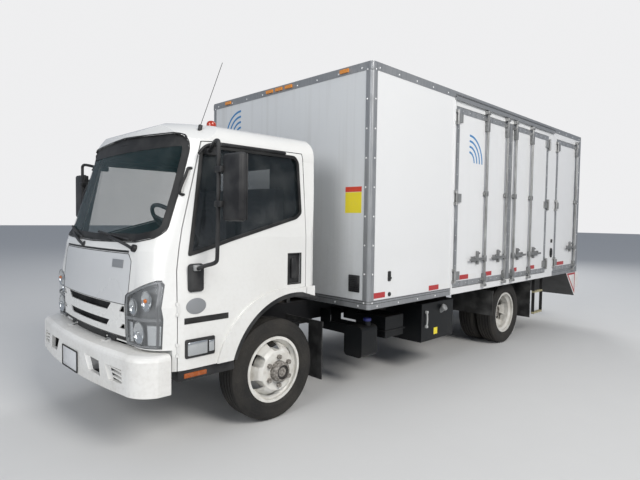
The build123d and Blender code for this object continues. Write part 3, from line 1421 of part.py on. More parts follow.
def wall_seams():
    """Butt seams of the left wall's sheets, above and below the two doorways."""
    y_low = box_half_width - panel_setback - panel_thickness - 1
    seams = []
    for x, out in ((door_left_x, 1), (door_right_x, -1), (small_door_front_x, 1), (small_door_rear_x, -1)):
        edge = x + out * swing_gap
        x_a, x_b = sorted((edge, edge + out * seat_gap))
        seams.append(block(x_a, x_b, y_low, box_half_width + 1, box_bottom_z - 1, door_low_z))
        seams.append(block(x_a, x_b, y_low, box_half_width + 1, door_high_z, box_top_z))
    return fuse(seams)


def frame_space():
    outer = frame_width / 2
    return block(rail_rear_x, rail_front_x, -outer, outer, rail_top - rail_height, rail_top)


# Mudflaps: X, lowest Z, highest Z, inner Y, outer Y.
flap_rows = [
    (front_axle_x - 540, 195, 700, 745, 915),
    (rear_axle_x + 520, 430, 740, 560, 1130),
    (rear_axle_x - 680, 250, 740, 560, 1100),
]

ladder_x = (front_axle_x - 4883, front_axle_x - 4606)
ladder_y = 1100
ladder_low = 285
ladder_flange = 8
apron_front_x = front_axle_x - 5560
apron_rear_x = box_rear_x
apron_low_z = 430


def access_ladder():
    """A two rung steel ladder, bolted by its top plate under a cross sill of the floor."""
    sill_end = box_half_width - rail_depth
    top = sill_low_z - seat_gap
    pieces = [block(ladder_x[0], ladder_x[1], ladder_y - 25, sill_end, top - ladder_flange, top)]
    for x in ladder_x:
        pieces.append(block(x - 6, x + 6, ladder_y - 25, ladder_y + 15, ladder_low, top))
    for z in (300, 600):
        pieces.append(block(ladder_x[0], ladder_x[1], ladder_y - 25, ladder_y + 15, z - 12, z + 12))
    return fuse(pieces)


def tail_apron():
    """The folded apron under the tail: end plates, sloping plate, rear plate and step."""
    y = box_half_width - 15
    wall = 6
    wedge = side_prism([(apron_front_x, box_bottom_z), (apron_rear_x, box_bottom_z),
                        (apron_rear_x, apron_low_z), (apron_rear_x + 20, apron_low_z)], -y, y)
    hollow = side_prism([(apron_front_x - 18, box_bottom_z + 1), (apron_rear_x + wall, box_bottom_z + 1),
                         (apron_rear_x + wall, apron_low_z + 26)], wall - y, y - wall)
    shell = wedge - hollow
    shell = shell - block(rail_rear_x - 5, 9000, -frame_width / 2 - 10, frame_width / 2 + 10,
                          rail_top - rail_height - 10, rail_top + 100)
    step_x = tail_x
    step = block(step_x, apron_rear_x, -y, y, 560, 590)
    cheeks = []
    for side in (-1, 1):
        y_a, y_b = sorted((side * (y - 30), side * y))
        cheeks.append(block(step_x, apron_rear_x, y_a, y_b, 560, 800))
    return fuse([shell, step] + cheeks)


def body_lamps():
    """Clearance lamps on the rails and the tail lamps on the apron."""
    lamps = []
    for y in (-900, -150, 0, 150, 900):
        lamps.append(block(box_front_x, box_front_x + 14, y - 50, y + 50, box_top_z - 50, box_top_z - 18))
        lamps.append(block(box_rear_x - 14, box_rear_x, y - 50, y + 50, box_top_z - 50, box_top_z - 18))
    for y in (-1000, 1000):
        lamps.append(block(apron_rear_x - 24, apron_rear_x, y - 140, y + 140, 640, 740))
    return lamps


def solids_of(shape):
    if isinstance(shape, (list, tuple)):
        found = []
        for item in shape:
            found += solids_of(item)
        return found
    return list(shape.solids())


def write_parts():
    os.makedirs("parts", exist_ok=True)
    nodes = {}
    nodes["frame_rails"] = frame_rails()
    nodes["front_bumper"] = front_bumper()
    nodes["front_axle"] = front_axle()
    nodes["leaf_springs"] = leaf_springs()
    nodes["rear_axle"] = rear_axle()
    nodes["driveline"] = driveline()
    nodes.update(under_body())
    nodes["access_ladder"] = access_ladder()
    nodes["tail_apron"] = tail_apron()
    nodes["knuckle_left"] = knuckle()
    nodes["knuckle_right"] = other_side(knuckle())
    nodes["tie_rod"] = tie_rod()
    front = front_wheel()
    front_tyre = Pos(front_axle_x, 0, 0) * tyre(front_track / 2)
    rear = rear_wheels()
    rear_tyres = [Pos(rear_axle_x, 0, 0) * tyre(rear_track / 2 + side * dual_spacing / 2)
                  for side in (-1, 1)]
    nodes["wheel_front_left"] = front
    nodes["wheel_front_right"] = other_side(front)
    nodes["tyre_front_left"] = front_tyre
    nodes["tyre_front_right"] = other_side(front_tyre)
    nodes["wheels_rear_left"] = rear
    nodes["wheels_rear_right"] = other_side(rear)
    nodes["tyres_rear_left"] = rear_tyres
    nodes["tyres_rear_right"] = [other_side(ring) for ring in rear_tyres]
    nodes.update(cab_parts())
    mirror_left = cab_mirror()
    nodes["mirror_left"] = mirror_left
    nodes["mirror_right"] = other_side(mirror_left)
    dash, seats = cab_inside()
    nodes["dashboard"] = dash
    nodes["seats"] = seats
    nodes.update(body_walls())
    left_hinges, right_hinges = fixed_hinges()
    nodes["body_side_left"] = fuse([nodes["body_side_left"]] + left_hinges) - wall_seams()
    nodes["body_side_right"] = fuse([nodes["body_side_right"]] + right_hinges)
    corner_hinges = rear_hinges()
    nodes["body_rails"] = fuse([nodes["body_rails"]] + corner_hinges
                               + [other_side(piece) for piece in corner_hinges])
    nodes["body_floor"] = body_floor() - nodes["body_rails"]
    nodes["body_lamps"] = body_lamps()
    front_leaf, rear_leaf, small, curb = side_doors()
    nodes["side_door_front"] = front_leaf
    nodes["side_door_rear"] = rear_leaf
    nodes["side_door_small"] = small
    nodes["kerb_door"] = curb
    door = rear_door()
    nodes["rear_door_left"] = door
    nodes["rear_door_right"] = other_side(door)
    wall, unit, mast, carriage = bay_parts()
    nodes["bulkhead"] = wall
    nodes["shredder_unit"] = unit
    nodes["lift_mast"] = mast
    nodes["lift_carriage"] = carriage
    for name, shape in nodes.items():
        export_step(Compound(solids_of(shape)), f"parts/{name}.step")


write_parts()
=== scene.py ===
import math
from contextlib import contextmanager

import bpy
from mathutils import Matrix, Vector


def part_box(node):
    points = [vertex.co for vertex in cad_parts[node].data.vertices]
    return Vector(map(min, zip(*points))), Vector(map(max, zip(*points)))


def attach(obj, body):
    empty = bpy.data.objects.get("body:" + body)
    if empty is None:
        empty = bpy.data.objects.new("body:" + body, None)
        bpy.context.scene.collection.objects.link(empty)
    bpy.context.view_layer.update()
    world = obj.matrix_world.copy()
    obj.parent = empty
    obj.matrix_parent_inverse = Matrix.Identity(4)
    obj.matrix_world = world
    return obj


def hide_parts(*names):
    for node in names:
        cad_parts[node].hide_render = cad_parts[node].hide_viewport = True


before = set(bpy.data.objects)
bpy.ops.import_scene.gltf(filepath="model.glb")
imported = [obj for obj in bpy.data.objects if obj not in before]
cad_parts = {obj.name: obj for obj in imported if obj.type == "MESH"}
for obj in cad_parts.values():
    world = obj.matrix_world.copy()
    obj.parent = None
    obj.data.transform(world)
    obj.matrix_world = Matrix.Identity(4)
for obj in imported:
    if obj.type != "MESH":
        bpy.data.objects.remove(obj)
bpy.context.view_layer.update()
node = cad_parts

# Everything is in metres: X forward, Y to the truck's left, Z up, with the ground at zero
wheelLow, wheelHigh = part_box("tyre_front_left")
frontX = (wheelLow.x + wheelHigh.x) / 2
rearLow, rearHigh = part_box("tyres_rear_left")
rearX = (rearLow.x + rearHigh.x) / 2
wheelZ = (wheelLow.z + wheelHigh.z) / 2
tyreRadius = (wheelHigh.z - wheelLow.z) / 2
tyreWidth = wheelHigh.y - wheelLow.y
frontTyreY = (wheelLow.y + wheelHigh.y) / 2
boxLow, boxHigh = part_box("body_rails")
boxFront = boxHigh.x
boxSide = 1.220
boxTop = boxHigh.z
boxBottom = boxLow.z
boxLength = 5.180
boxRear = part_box("body_front_wall")[1].x + 0.003 - boxLength
noseX = frontX + 1.3  # a plane just ahead of the cab
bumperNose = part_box("front_bumper")[1].x
print("frame loaded, front axle at", round(frontX, 3))


# Small tools for modelling with operators

def letGo():
    bpy.ops.object.select_all(action="DESELECT")


def pickUp(piece):
    letGo()
    piece.select_set(True)
    bpy.context.view_layer.objects.active = piece


@contextmanager
def editing(piece):
    # edit mode with the whole piece selected
    pickUp(piece)
    bpy.ops.object.mode_set(mode="EDIT")
    bpy.ops.mesh.select_all(action="SELECT")
    yield
    bpy.ops.object.mode_set(mode="OBJECT")


def settle(piece):
    pickUp(piece)
    bpy.ops.object.transform_apply(location=True, rotation=True, scale=True)
    return piece


def useModifier(piece, kind, **settings):
    modifier = piece.modifiers.new(kind.title(), kind)
    for name, value in settings.items():
        setattr(modifier, name, value)
    pickUp(piece)
    bpy.ops.object.modifier_apply(modifier=modifier.name)
    return piece


def soften(piece, width, segments=2, sharpest=35):
    return useModifier(piece, "BEVEL", width=width, segments=segments, limit_method="ANGLE",
                       angle_limit=math.radians(sharpest))


def repeat(piece, count, step):
    return useModifier(piece, "ARRAY", count=count, use_relative_offset=False,
                       use_constant_offset=True, constant_offset_displace=step)


def faceOutwards(piece):
    with editing(piece):
        bpy.ops.mesh.remove_doubles(threshold=0.00005)
        bpy.ops.mesh.normals_make_consistent(inside=False)
    return piece


def thicken(piece, thickness):
    return faceOutwards(useModifier(piece, "SOLIDIFY", thickness=thickness, offset=0))


def block(low, high, rounding=0.003, segments=2):
    letGo()
    bpy.ops.mesh.primitive_cube_add(size=1, location=[(a + b) / 2 for a, b in zip(low, high)])
    piece = bpy.context.object
    piece.scale = [abs(b - a) for a, b in zip(low, high)]
    settle(piece)
    return soften(piece, rounding, segments) if rounding else piece


def disc(middle, radius, depth, facing, sides=32, rounding=0.002):
    letGo()
    bpy.ops.mesh.primitive_cylinder_add(vertices=sides, radius=radius, depth=depth, location=middle)
    piece = bpy.context.object
    piece.rotation_euler = Vector(facing).to_track_quat("Z", "Y").to_euler()
    settle(piece)
    return soften(piece, rounding) if rounding else piece


def stretchUp(piece, middle, factor):
    for vertex in piece.data.vertices:
        vertex.co.z = middle + (vertex.co.z - middle) * factor
    return piece


def rounded(corners, reach, steps):
    # the same outline with every corner eased into a short curve
    eased = []
    for before, corner, after in zip(corners[-1:] + corners[:-1], corners, corners[1:] + corners[:1]):
        ends = []
        for other in (before, after):
            away = Vector(other) - Vector(corner)
            ends.append(Vector(corner) + away * min(0.45, reach / away.length))
        for step in range(steps + 1):
            part = step / steps
            point = ends[0] * (1 - part) ** 2 + Vector(corner) * 2 * part * (1 - part) + ends[1] * part ** 2
            eased.append(tuple(point))
    return eased


def outline(corners, plane, level):
    # a flat face with these corners, which looks along X or Y
    letGo()
    bpy.ops.mesh.primitive_circle_add(vertices=len(corners), fill_type="NGON")
    piece = bpy.context.object
    for vertex, (a, b) in zip(piece.data.vertices, corners):
        vertex.co = (level, a, b) if plane == "x" else (a, level, b)
    return piece


def ring(corners, plane, level, width, cuts):
    # a band of that width inside the corners
    piece = outline(corners, plane, level)
    with editing(piece):
        bpy.ops.mesh.inset(thickness=width)
        bpy.ops.mesh.delete(type="FACE")
        bpy.ops.mesh.select_all(action="SELECT")
        if cuts:
            bpy.ops.mesh.subdivide(number_cuts=cuts)
    return piece


def noseSheet(corners, fine):
    # a fine grid trimmed to a convex outline, ready to be laid on the cab's front
    low, high = ([edge(c[i] for c in corners) for i in (0, 1)] for edge in (min, max))
    across = [max(2, int((high[i] - low[i]) / fine)) for i in (0, 1)]
    letGo()
    bpy.ops.mesh.primitive_grid_add(x_subdivisions=across[0], y_subdivisions=across[1], size=1)
    piece = bpy.context.object
    for vertex in piece.data.vertices:
        vertex.co = (noseX, low[0] + (vertex.co.x + 0.5) * (high[0] - low[0]),
                     low[1] + (vertex.co.y + 0.5) * (high[1] - low[1]))
    middle = [sum(c[i] for c in corners) / len(corners) for i in (0, 1)]
    with editing(piece):
        for start, end in zip(corners, corners[1:] + corners[:1]):
            side = (end[1] - start[1], start[0] - end[0])
            if side[0] * (middle[0] - start[0]) + side[1] * (middle[1] - start[1]) > 0:
                side = (-side[0], -side[1])
            bpy.ops.mesh.select_all(action="SELECT")
            bpy.ops.mesh.bisect(plane_co=(noseX, *start), plane_no=(0, *side), clear_outer=True)
    return piece


def skinPoint(where, axis, targets):
    # where a line from the front (x) or the left (y) first meets one of these CAD skins
    away = Vector((1, 0, 0) if axis == "x" else (0, 1, 0))
    origin = Vector(where)
    origin["xy".index(axis)] = 5.0
    found = [node[target].ray_cast(origin, -away) for target in targets]
    points = [point for hit, point, *rest in found if hit]
    return max(points, key=away.dot) if points else None


def layOn(piece, targets, axis, lift):
    # drop a flat piece onto CAD skins; a corner that misses them takes its neighbour's depth
    index = "xy".index(axis)
    landed = []
    missed = []
    for vertex in piece.data.vertices:
        point = skinPoint(vertex.co, axis, targets)
        if point:
            vertex.co[index] = point[index] + lift
        (landed if point else missed).append(vertex)
    for vertex in missed:
        near = min(landed, key=lambda other: (other.co[1 - index] - vertex.co[1 - index]) ** 2
                   + (other.co.z - vertex.co.z) ** 2)
        vertex.co[index] = near.co[index]
    return piece


def onNose(piece, targets, lift, thickness):
    # a sheet laid on the cab's front and given its thickness
    return thicken(layOn(piece, targets, "x", lift), thickness)


def tube(points, radius, order=3, fine=8):
    letGo()
    bpy.ops.curve.primitive_nurbs_path_add()
    curve = bpy.context.object.data
    curve.splines.clear()
    spline = curve.splines.new("NURBS")
    spline.points.add(len(points) - 1)
    for point, where in zip(spline.points, points):
        point.co = (*where, 1)
    spline.use_endpoint_u = True
    spline.order_u = order
    curve.dimensions = "3D"
    curve.resolution_u = fine
    curve.bevel_depth = radius
    curve.bevel_resolution = 3
    curve.use_fill_caps = True
    bpy.ops.object.convert(target="MESH")
    return faceOutwards(bpy.context.object)


def join(pieces):
    letGo()
    for piece in pieces:
        piece.select_set(True)
    bpy.context.view_layer.objects.active = pieces[0]
    if len(pieces) > 1:
        bpy.ops.object.join()
    return pieces[0]


def copyOf(piece, move=(0, 0, 0), mirrored=False):
    pickUp(piece)
    bpy.ops.object.duplicate(linked=False)
    twin = bpy.context.object
    twin.location = move
    twin.scale = (1, -1 if mirrored else 1, 1)
    settle(twin)
    return faceOutwards(twin) if mirrored else twin


def rivetRow(start, end, spacing, facing, size="head"):
    # one domed head, repeated along the line
    radius = rivetShape[size]
    letGo()
    bpy.ops.mesh.primitive_uv_sphere_add(segments=8, ring_count=6, radius=radius, location=start)
    head = bpy.context.object
    head.rotation_euler = Vector(facing).to_track_quat("Z", "Y").to_euler()
    head.scale = (1, 1, 0.5)
    settle(head)
    with editing(head):
        bpy.ops.mesh.bisect(plane_co=start, plane_no=facing, clear_inner=True, use_fill=True)
    run = Vector(end) - Vector(start)
    count = max(2, round(run.length / spacing) + 1)
    return repeat(head, count, run / (count - 1))


def done(name, pieces, body, finish, smooth=40):
    # the last touch: one named piece with its shading and finish, on the body that it rides on
    piece = join(pieces) if isinstance(pieces, list) else pieces
    piece.name = name
    settle(piece)
    bpy.ops.object.shade_smooth_by_angle(angle=math.radians(smooth))
    piece.data.materials.clear()
    piece.data.materials.append(finishes[finish])
    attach(piece, body)
    return piece


def darkLine(name, sheet, targets, lift, thickness):
    # rubber, or the shadow in a seam, on the cab's front
    done(name, onNose(sheet, targets, lift, thickness), "cab", "gasket")


def mirrorPair(base, pieces, body, finish):
    # the piece on the left and its twin on the right
    left = join(pieces) if isinstance(pieces, list) else pieces
    right = copyOf(left, mirrored=True)
    bodies = (body + "_left", body + "_right") if body == "cab_door" else (body, body)
    return [done(base + side, piece, rides, finish)
            for side, piece, rides in zip(("Left", "Right"), (left, right), bodies)]


# Shader maths

finishes = {}
shaderNames = {"Colour": "Base Color", "Coat": "Coat Weight", "Shine": "Specular IOR Level"}


class Wire:
    # one output socket that can be added, multiplied and compared like a number

    def __init__(self, tree, socket):
        self.tree = tree
        self.socket = socket

    def maths(self, operation, first, second=None):
        step = self.tree.nodes.new("ShaderNodeMath")
        step.operation = operation
        for place, value in enumerate((first, second)):
            if isinstance(value, Wire):
                self.tree.links.new(value.socket, step.inputs[place])
            elif value is not None:
                step.inputs[place].default_value = value
        return Wire(self.tree, step.outputs[0])

    def __add__(self, other):
        return self.maths("ADD", self, other)

    def __radd__(self, other):
        return self.maths("ADD", other, self)

    def __sub__(self, other):
        return self.maths("SUBTRACT", self, other)

    def __rsub__(self, other):
        return self.maths("SUBTRACT", other, self)

    def __mul__(self, other):
        return self.maths("MULTIPLY", self, other)

    def __rmul__(self, other):
        return self.maths("MULTIPLY", other, self)

    def __gt__(self, other):
        return self.maths("GREATER_THAN", self, other)

    def __lt__(self, other):
        return self.maths("LESS_THAN", self, other)

    def __abs__(self):
        return self.maths("ABSOLUTE", self)

    def most(self, other):
        return self.maths("MAXIMUM", self, other)

    def least(self, other):
        return self.maths("MINIMUM", self, other)

    def sine(self):
        return self.maths("SINE", self)

    def between(self, low, high):
        return (self > low) * (self < high)


class Finish:
    # a material with its principled shader and the object coordinates split into axes

    def __init__(self, name):
        self.material = bpy.data.materials.new(name)
        self.material.use_nodes = True
        self.tree = self.material.node_tree
        self.shader = self.tree.nodes["Principled BSDF"]
        self.place = self.add("ShaderNodeTexCoord", output="Object")
        self.x, self.y, self.z = self.axes(self.place)

    def add(self, kind, settings=None, values=None, output=0):
        step = self.tree.nodes.new(kind)
        for name, value in (settings or {}).items():
            setattr(step, name, value)
        for name, value in (values or {}).items():
            if isinstance(value, Wire):
                self.tree.links.new(value.socket, step.inputs[name])
            else:
                step.inputs[name].default_value = value
        return step if output is None else Wire(self.tree, step.outputs[output])

    def axes(self, direction):
        split = self.add("ShaderNodeSeparateXYZ", values={0: direction}, output=None)
        return [Wire(self.tree, socket) for socket in split.outputs]

    def noise(self, scale, detail=4, stretch=(1, 1, 1)):
        turned = self.add("ShaderNodeMapping", values={"Vector": self.place, "Scale": stretch})
        return self.add("ShaderNodeTexNoise", values={"Vector": turned, "Scale": scale, "Detail": detail})

    def cells(self, scale):
        turned = self.add("ShaderNodeMapping", values={"Vector": self.place, "Scale": (1, 1, 1)})
        return self.add("ShaderNodeTexVoronoi", values={"Vector": turned, "Scale": scale}, output="Color")

    def rise(self, value, low, high):
        return self.add("ShaderNodeMapRange", values={"Value": value, "From Min": low, "From Max": high})

    def clouds(self, scale, detail, low, high, stretch=(1, 1, 1)):
        # noise that is nothing under low and everything over high
        return self.rise(self.noise(scale, detail, stretch), low, high)

    def blend(self, share, first, second):
        colours = [value if isinstance(value, Wire) else (*value, 1) for value in (first, second)]
        return self.add("ShaderNodeMix", {"data_type": "RGBA"},
                        {0: share, 6: colours[0], 7: colours[1]}, 2)

    def bump(self, height, distance):
        return self.add("ShaderNodeBump", values={"Height": height, "Distance": distance, "Strength": 1.0})

    def grain(self, scale, detail, depth):
        return self.bump(self.noise(scale, detail), depth)

    def gloss(self):
        # the faint orange peel of gloss paint
        return self.grain(420, 2, 0.00006)

    def upward(self):
        # how far a face looks up
        return self.axes(self.add("ShaderNodeNewGeometry", output="Normal"))[2]

    def wear(self, **values):
        for name, value in values.items():
            socket = self.shader.inputs[shaderNames.get(name, name)]
            if isinstance(value, Wire):
                self.tree.links.new(value.socket, socket)
            else:
                socket.default_value = value
        finishes[self.material.name] = self.material


white, dirty = (0.74, 0.74, 0.72), (0.42, 0.39, 0.33)
bumperWhite, bumperDirt = (0.74, 0.735, 0.71), (0.36, 0.33, 0.28)
boxWhite, boxDirt = (0.73, 0.735, 0.735), (0.46, 0.46, 0.43)


def grimeOf(f, height, scale=2.2, top=0.78, parts=(0.35, 0.2)):
    # clouds and specks that thicken towards the ground
    low = 1 - f.rise(f.z, height * 0.25, height)
    clouds = f.clouds(scale, 8, 0.42, top) * parts[0]
    return (clouds + f.clouds(38, 6, 0.45, 0.8) * parts[1]) * (low * 0.9 + 0.12)


def paint(name, colour, dirt, dirtHeight, roughness, streak=0.0):
    # gloss paint with grime and faint streaks
    f = Finish(name)
    streaks = f.clouds(5, 6, 0.5, 0.85, (3.2, 3.2, 0.12))
    grime = grimeOf(f, dirtHeight) + streaks * streak
    f.wear(Colour=f.blend(grime, colour, dirt), Roughness=grime * 0.35 + roughness, Coat=0.25,
           Normal=f.gloss())


def cabFinish():
    # white gloss outside; faces that look into the cab are painted near black, darker than the trim is, as
    # shade inside the cab, and the stems on the tilt lugs are painted black as shadow under the front panel
    f = Finish("cabPaint")
    grime = grimeOf(f, 1.5)
    along, across, up = f.axes(f.add("ShaderNodeTexCoord", output="Normal"))
    # painted shade: faces that look in towards the cab's middle are painted near black
    inside = (along * (f.x - (frontX + 0.25)) + across * f.y + up * (f.z - 1.55)) < -0.12
    inside = inside * (abs(f.y) < 0.972) * (f.x < frontX + 1.03)
    # painted shadow: the lug stems at the height of the recessed valance are painted black like the dark
    # sheets under the front panel
    stem = abs(f.y).between(0.318, 0.372) * f.z.between(0.7045, 0.762) * (f.x > frontX + 0.95)
    trim = inside.most(stem)
    f.wear(Colour=f.blend(trim, f.blend(grime, white, dirty), (0.022, 0.024, 0.027)),
           Roughness=grime * 0.35 + trim * 0.5 + 0.2, Coat=(1 - trim) * 0.25, Normal=f.gloss())


def bumperFinish():
    # weathered white whose lamp pockets are painted black as shade away from the bowed face
    f = Finish("bumperPaint")
    grime = grimeOf(f, 1.1, 3.2, 0.75, (0.4, 0.25))
    face = f.y * f.y * -0.0945 + bumperNose
    # painted shade: deeper than 26 mm behind the bowed face, the lamp pockets are painted black
    pocketShade = (f.x < face - 0.026) * f.z.between(0.500, 0.622) * abs(f.y).between(0.25, 0.80)
    f.wear(Colour=f.blend(pocketShade, f.blend(grime, bumperWhite, bumperDirt), (0.015, 0.015, 0.015)),
           Roughness=grime * 0.35 + 0.34, Coat=0.2, Normal=f.gloss())


def drawnMetal(f, colour, dark, stretch, spangle=0.0):
    # drawn streaks with oxide or zinc spangle over them
    streaks = f.noise(16, 6, stretch)
    oxide = f.clouds(7, 8, 0.45, 0.75)
    spots = f.cells(60) * spangle if spangle else oxide * 0.1
    return f.blend(f.rise(streaks, 0.3, 0.8) * 0.6 + spots * 0.5, colour, dark), oxide, streaks


def railFinish():
    # the box's extruded rails, with painted shade as dark lines in the lengthwise grooves of the bottom one
    # and under the drip rail over the doors
    f = Finish("rail")
    tone, oxide, streaks = drawnMetal(f, (0.34, 0.35, 0.36), (0.20, 0.205, 0.21), (8, 8, 0.4))
    low, high = f.z - boxBottom, boxTop - f.z
    overDoors = f.x.between(frontX - 4.92, frontX - 2.14) * (f.y > boxSide - 0.01)
    # painted shade: dark lines in the grooves of the bottom rail and under the drip rail over the doors
    dripShade = high.between(0.048, 0.054).most(high.between(0.029, 0.034)) * overDoors
    groove = low.between(0.044, 0.048).most(low.between(0.066, 0.070)).most(dripShade)
    f.wear(Colour=f.blend(groove, tone, (0.05, 0.05, 0.05)), Metallic=0.55, Roughness=oxide * 0.25 + 0.42,
           Normal=f.bump(streaks, 0.0004))


def bareMetal(name, colour, dark, roughness, spangle=0.0):
    f = Finish(name)
    tone, oxide, streaks = drawnMetal(f, colour, dark, (1, 1, 1), spangle)
    f.wear(Colour=tone, Metallic=0.55, Roughness=oxide * 0.25 + roughness, Normal=f.bump(streaks, 0.0004))


def darkPaint(name, colour, dust, amount, roughness=0.5, whiteFrom=9.0):
    # black chassis paint with dust on what looks up and splashes lower down, white ahead of whiteFrom
    f = Finish(name)
    settled = f.rise(f.upward(), 0.2, 1.0) * f.clouds(9, 8, 0.3, 0.7)
    splash = f.clouds(3.5, 10, 0.5, 0.8) * (1 - f.rise(f.z, 0.2, 0.8))
    share = (settled * 0.7 + splash * 0.5) * amount
    ear = (f.x > whiteFrom) * (f.z > 0.66)
    f.wear(Colour=f.blend(ear, f.blend(share, colour, dust), (0.62, 0.62, 0.60)),
           Roughness=share * 0.4 + roughness, Shine=0.25, Normal=f.grain(160, 4, 0.0003))


def grained(name, colour, roughness, scale=320, depth=0.0002, fade=0.15):
    # moulded plastic or rubber with a fine grain and sun-faded patches
    f = Finish(name)
    faded = f.clouds(6, 6, 0.4, 0.8) * fade
    f.wear(Colour=f.blend(faded, colour, (0.32, 0.32, 0.31)), Roughness=faded + roughness, Shine=0.3,
           Normal=f.bump(f.cells(scale), depth))


def tyreFinish():
    f = Finish("tyreRubber")
    dust = f.clouds(4, 8, 0.35, 0.8)
    share = dust * 0.32 + f.clouds(70, 5, 0.5, 0.8) * 0.12
    tone = f.blend(share, (0.016, 0.0155, 0.015), (0.11, 0.098, 0.082))
    f.wear(Colour=tone, Roughness=dust * 0.15 + 0.7, Shine=0.3, Normal=f.grain(240, 5, 0.0006))


def fromAxle(f, axleX):
    # distance from the axle line
    dx = f.x - axleX
    dz = f.z - wheelZ
    return f.add("ShaderNodeMath", {"operation": "SQRT"}, {0: dx * dx + dz * dz})


def frontWheelFinish():
    # white wheel with brake dust towards the hub, rusty nuts and a dark ring around the hub cap
    f = Finish("frontWheelPaint")
    radius = fromAxle(f, frontX)
    dirt = f.clouds(14, 8, 0.42, 0.72)
    inner = 1 - f.rise(radius, 0.09, 0.2)
    base = f.blend(dirt * 0.4 + inner * 0.12, (0.72, 0.71, 0.67), (0.30, 0.26, 0.20))
    hubTone = f.blend(f.clouds(60, 6, 0.4, 0.7), (0.13, 0.115, 0.10), (0.36, 0.34, 0.31))
    hubTone = f.blend(radius.between(0.036, 0.056), hubTone, (0.03, 0.027, 0.025))
    nutRing = f.rise(abs(radius - 0.1111), 0.021, 0.0195)
    proud = f.rise(abs(f.y), frontTyreY + 0.1395, frontTyreY + 0.141)
    hub = (radius < 0.0805) + nutRing * proud
    f.wear(Colour=f.blend(hub.least(1.0), base, hubTone), Roughness=dirt * 0.3 + 0.38,
           Normal=f.grain(90, 5, 0.0005))


def rearWheelFinish():
    f = Finish("rearWheelPaint")
    dirt = f.clouds(12, 8, 0.4, 0.72)
    base = f.blend(dirt * 0.5, (0.66, 0.65, 0.61), (0.27, 0.235, 0.18))
    hubTone = f.blend(f.clouds(60, 6, 0.4, 0.7), (0.11, 0.10, 0.09), (0.32, 0.30, 0.27))
    f.wear(Colour=f.blend(fromAxle(f, rearX) < 0.134, base, hubTone), Roughness=dirt * 0.3 + 0.4,
           Normal=f.grain(90, 5, 0.0005))


def leafFinish(name, axis, face):
    # door leaves: a sunk white face in a grey frame, with zinc rods and hinges outside it
    f = Finish(name)
    out = {"left": f.y, "right": f.y * -1.0, "rear": f.x * -1.0}[axis]
    frameShare = out > face - 0.0035
    cloud = f.clouds(2.2, 8, 0.45, 0.8)
    grime = f.clouds(5, 6, 0.5, 0.85, (3.2, 3.2, 0.12)) * 0.05 + cloud * 0.10
    metal = f.noise(18, 6, (1, 1, 0.3))
    grey = f.blend(f.rise(metal, 0.35, 0.75), (0.40, 0.41, 0.42), (0.22, 0.225, 0.23))
    gear = f.blend(f.rise(metal, 0.3, 0.7), (0.40, 0.405, 0.40), (0.20, 0.20, 0.195))
    skin = f.blend(frameShare, f.blend(grime, boxWhite, (0.46, 0.46, 0.44)), grey)
    f.wear(Colour=f.blend(out > face + 0.003, skin, gear), Metallic=frameShare * 0.55,
           Roughness=frameShare * 0.12 + cloud * 0.15 + 0.3, Normal=f.bump(metal, 0.0002))


def hoodFinish():
    # the hood above its seam is painted grey as shade on its forward face, against the white grille frame
    # below, and its openings are painted black behind the skin as shade
    f = Finish("hoodPaint")
    grime = f.clouds(2.2, 8, 0.42, 0.78) * (1 - f.rise(f.z, 0.7, 1.3)) * 0.25 + 0.02
    # painted shade: the hood above z 0.99 is painted grey, the grille frame below stays white
    tone = f.blend(f.z > 0.99, white, (0.60, 0.61, 0.615))
    # painted shade: what lies more than 6 mm behind this front skin, in the openings, is painted near black
    low = f.z * 0.034 + (frontX + 1.063)
    high = f.z * -0.0972 + (frontX + 1.1942)
    skin = low.least(high) - f.y * f.y * 0.102
    f.wear(Colour=f.blend(f.x < skin - 0.006, f.blend(grime, tone, dirty), (0.012, 0.012, 0.012)),
           Roughness=grime * 0.3 + 0.26, Coat=0.25, Normal=f.gloss())


def leftWallFinish():
    # white panel whose hinge posts and keepers outside it are zinc
    f = Finish("leftWallPaint")
    proud = f.y > boxSide + 0.0005
    grime = f.clouds(2.2, 8, 0.42, 0.78) * (1 - f.rise(f.z, 0.5, 1.5)) * 0.4 + 0.02
    metal = f.blend(f.clouds(24, 6, 0.3, 0.7), (0.50, 0.50, 0.49), (0.24, 0.24, 0.235))
    f.wear(Colour=f.blend(proud, f.blend(grime, boxWhite, boxDirt), metal), Metallic=proud * 0.5,
           Roughness=grime * 0.3 + 0.32, Normal=f.gloss())


def glassFinish(name, tint, clear):
    f = Finish(name)
    edge = f.add("ShaderNodeLayerWeight", values={"Blend": 0.35}, output="Facing")
    dust = f.clouds(6, 8, 0.45, 0.9)
    f.wear(Colour=f.blend(dust * 0.3, tint, (0.3, 0.31, 0.3)), Roughness=dust * 0.08 + 0.03,
           Alpha=edge * 0.24 + clear + dust * 0.03, Shine=0.8)


def lampFinish():
    # head lamps are clear, the domes on the roof are red amber
    f = Finish("lampLens")
    dome = f.z > 2.2
    f.wear(Colour=f.blend(dome, (0.72, 0.75, 0.76), (0.40, 0.035, 0.012)), Roughness=0.06,
           Alpha=dome * 0.84 + 0.13, Shine=0.7, Normal=f.bump(f.noise(3, 2, (1, 30, 1)), 0.0006))


def redLampFinish():
    # red at the rear, amber at the front
    f = Finish("redLens")
    flute = ((f.y * 900).sine() + (f.z * 900).sine()) * 0.5
    f.wear(Colour=f.blend(f.x > boxFront - 0.05, (0.45, 0.012, 0.012), (0.72, 0.26, 0.03)), Roughness=0.16,
           Coat=0.6, Normal=f.bump(flute, 0.0008))


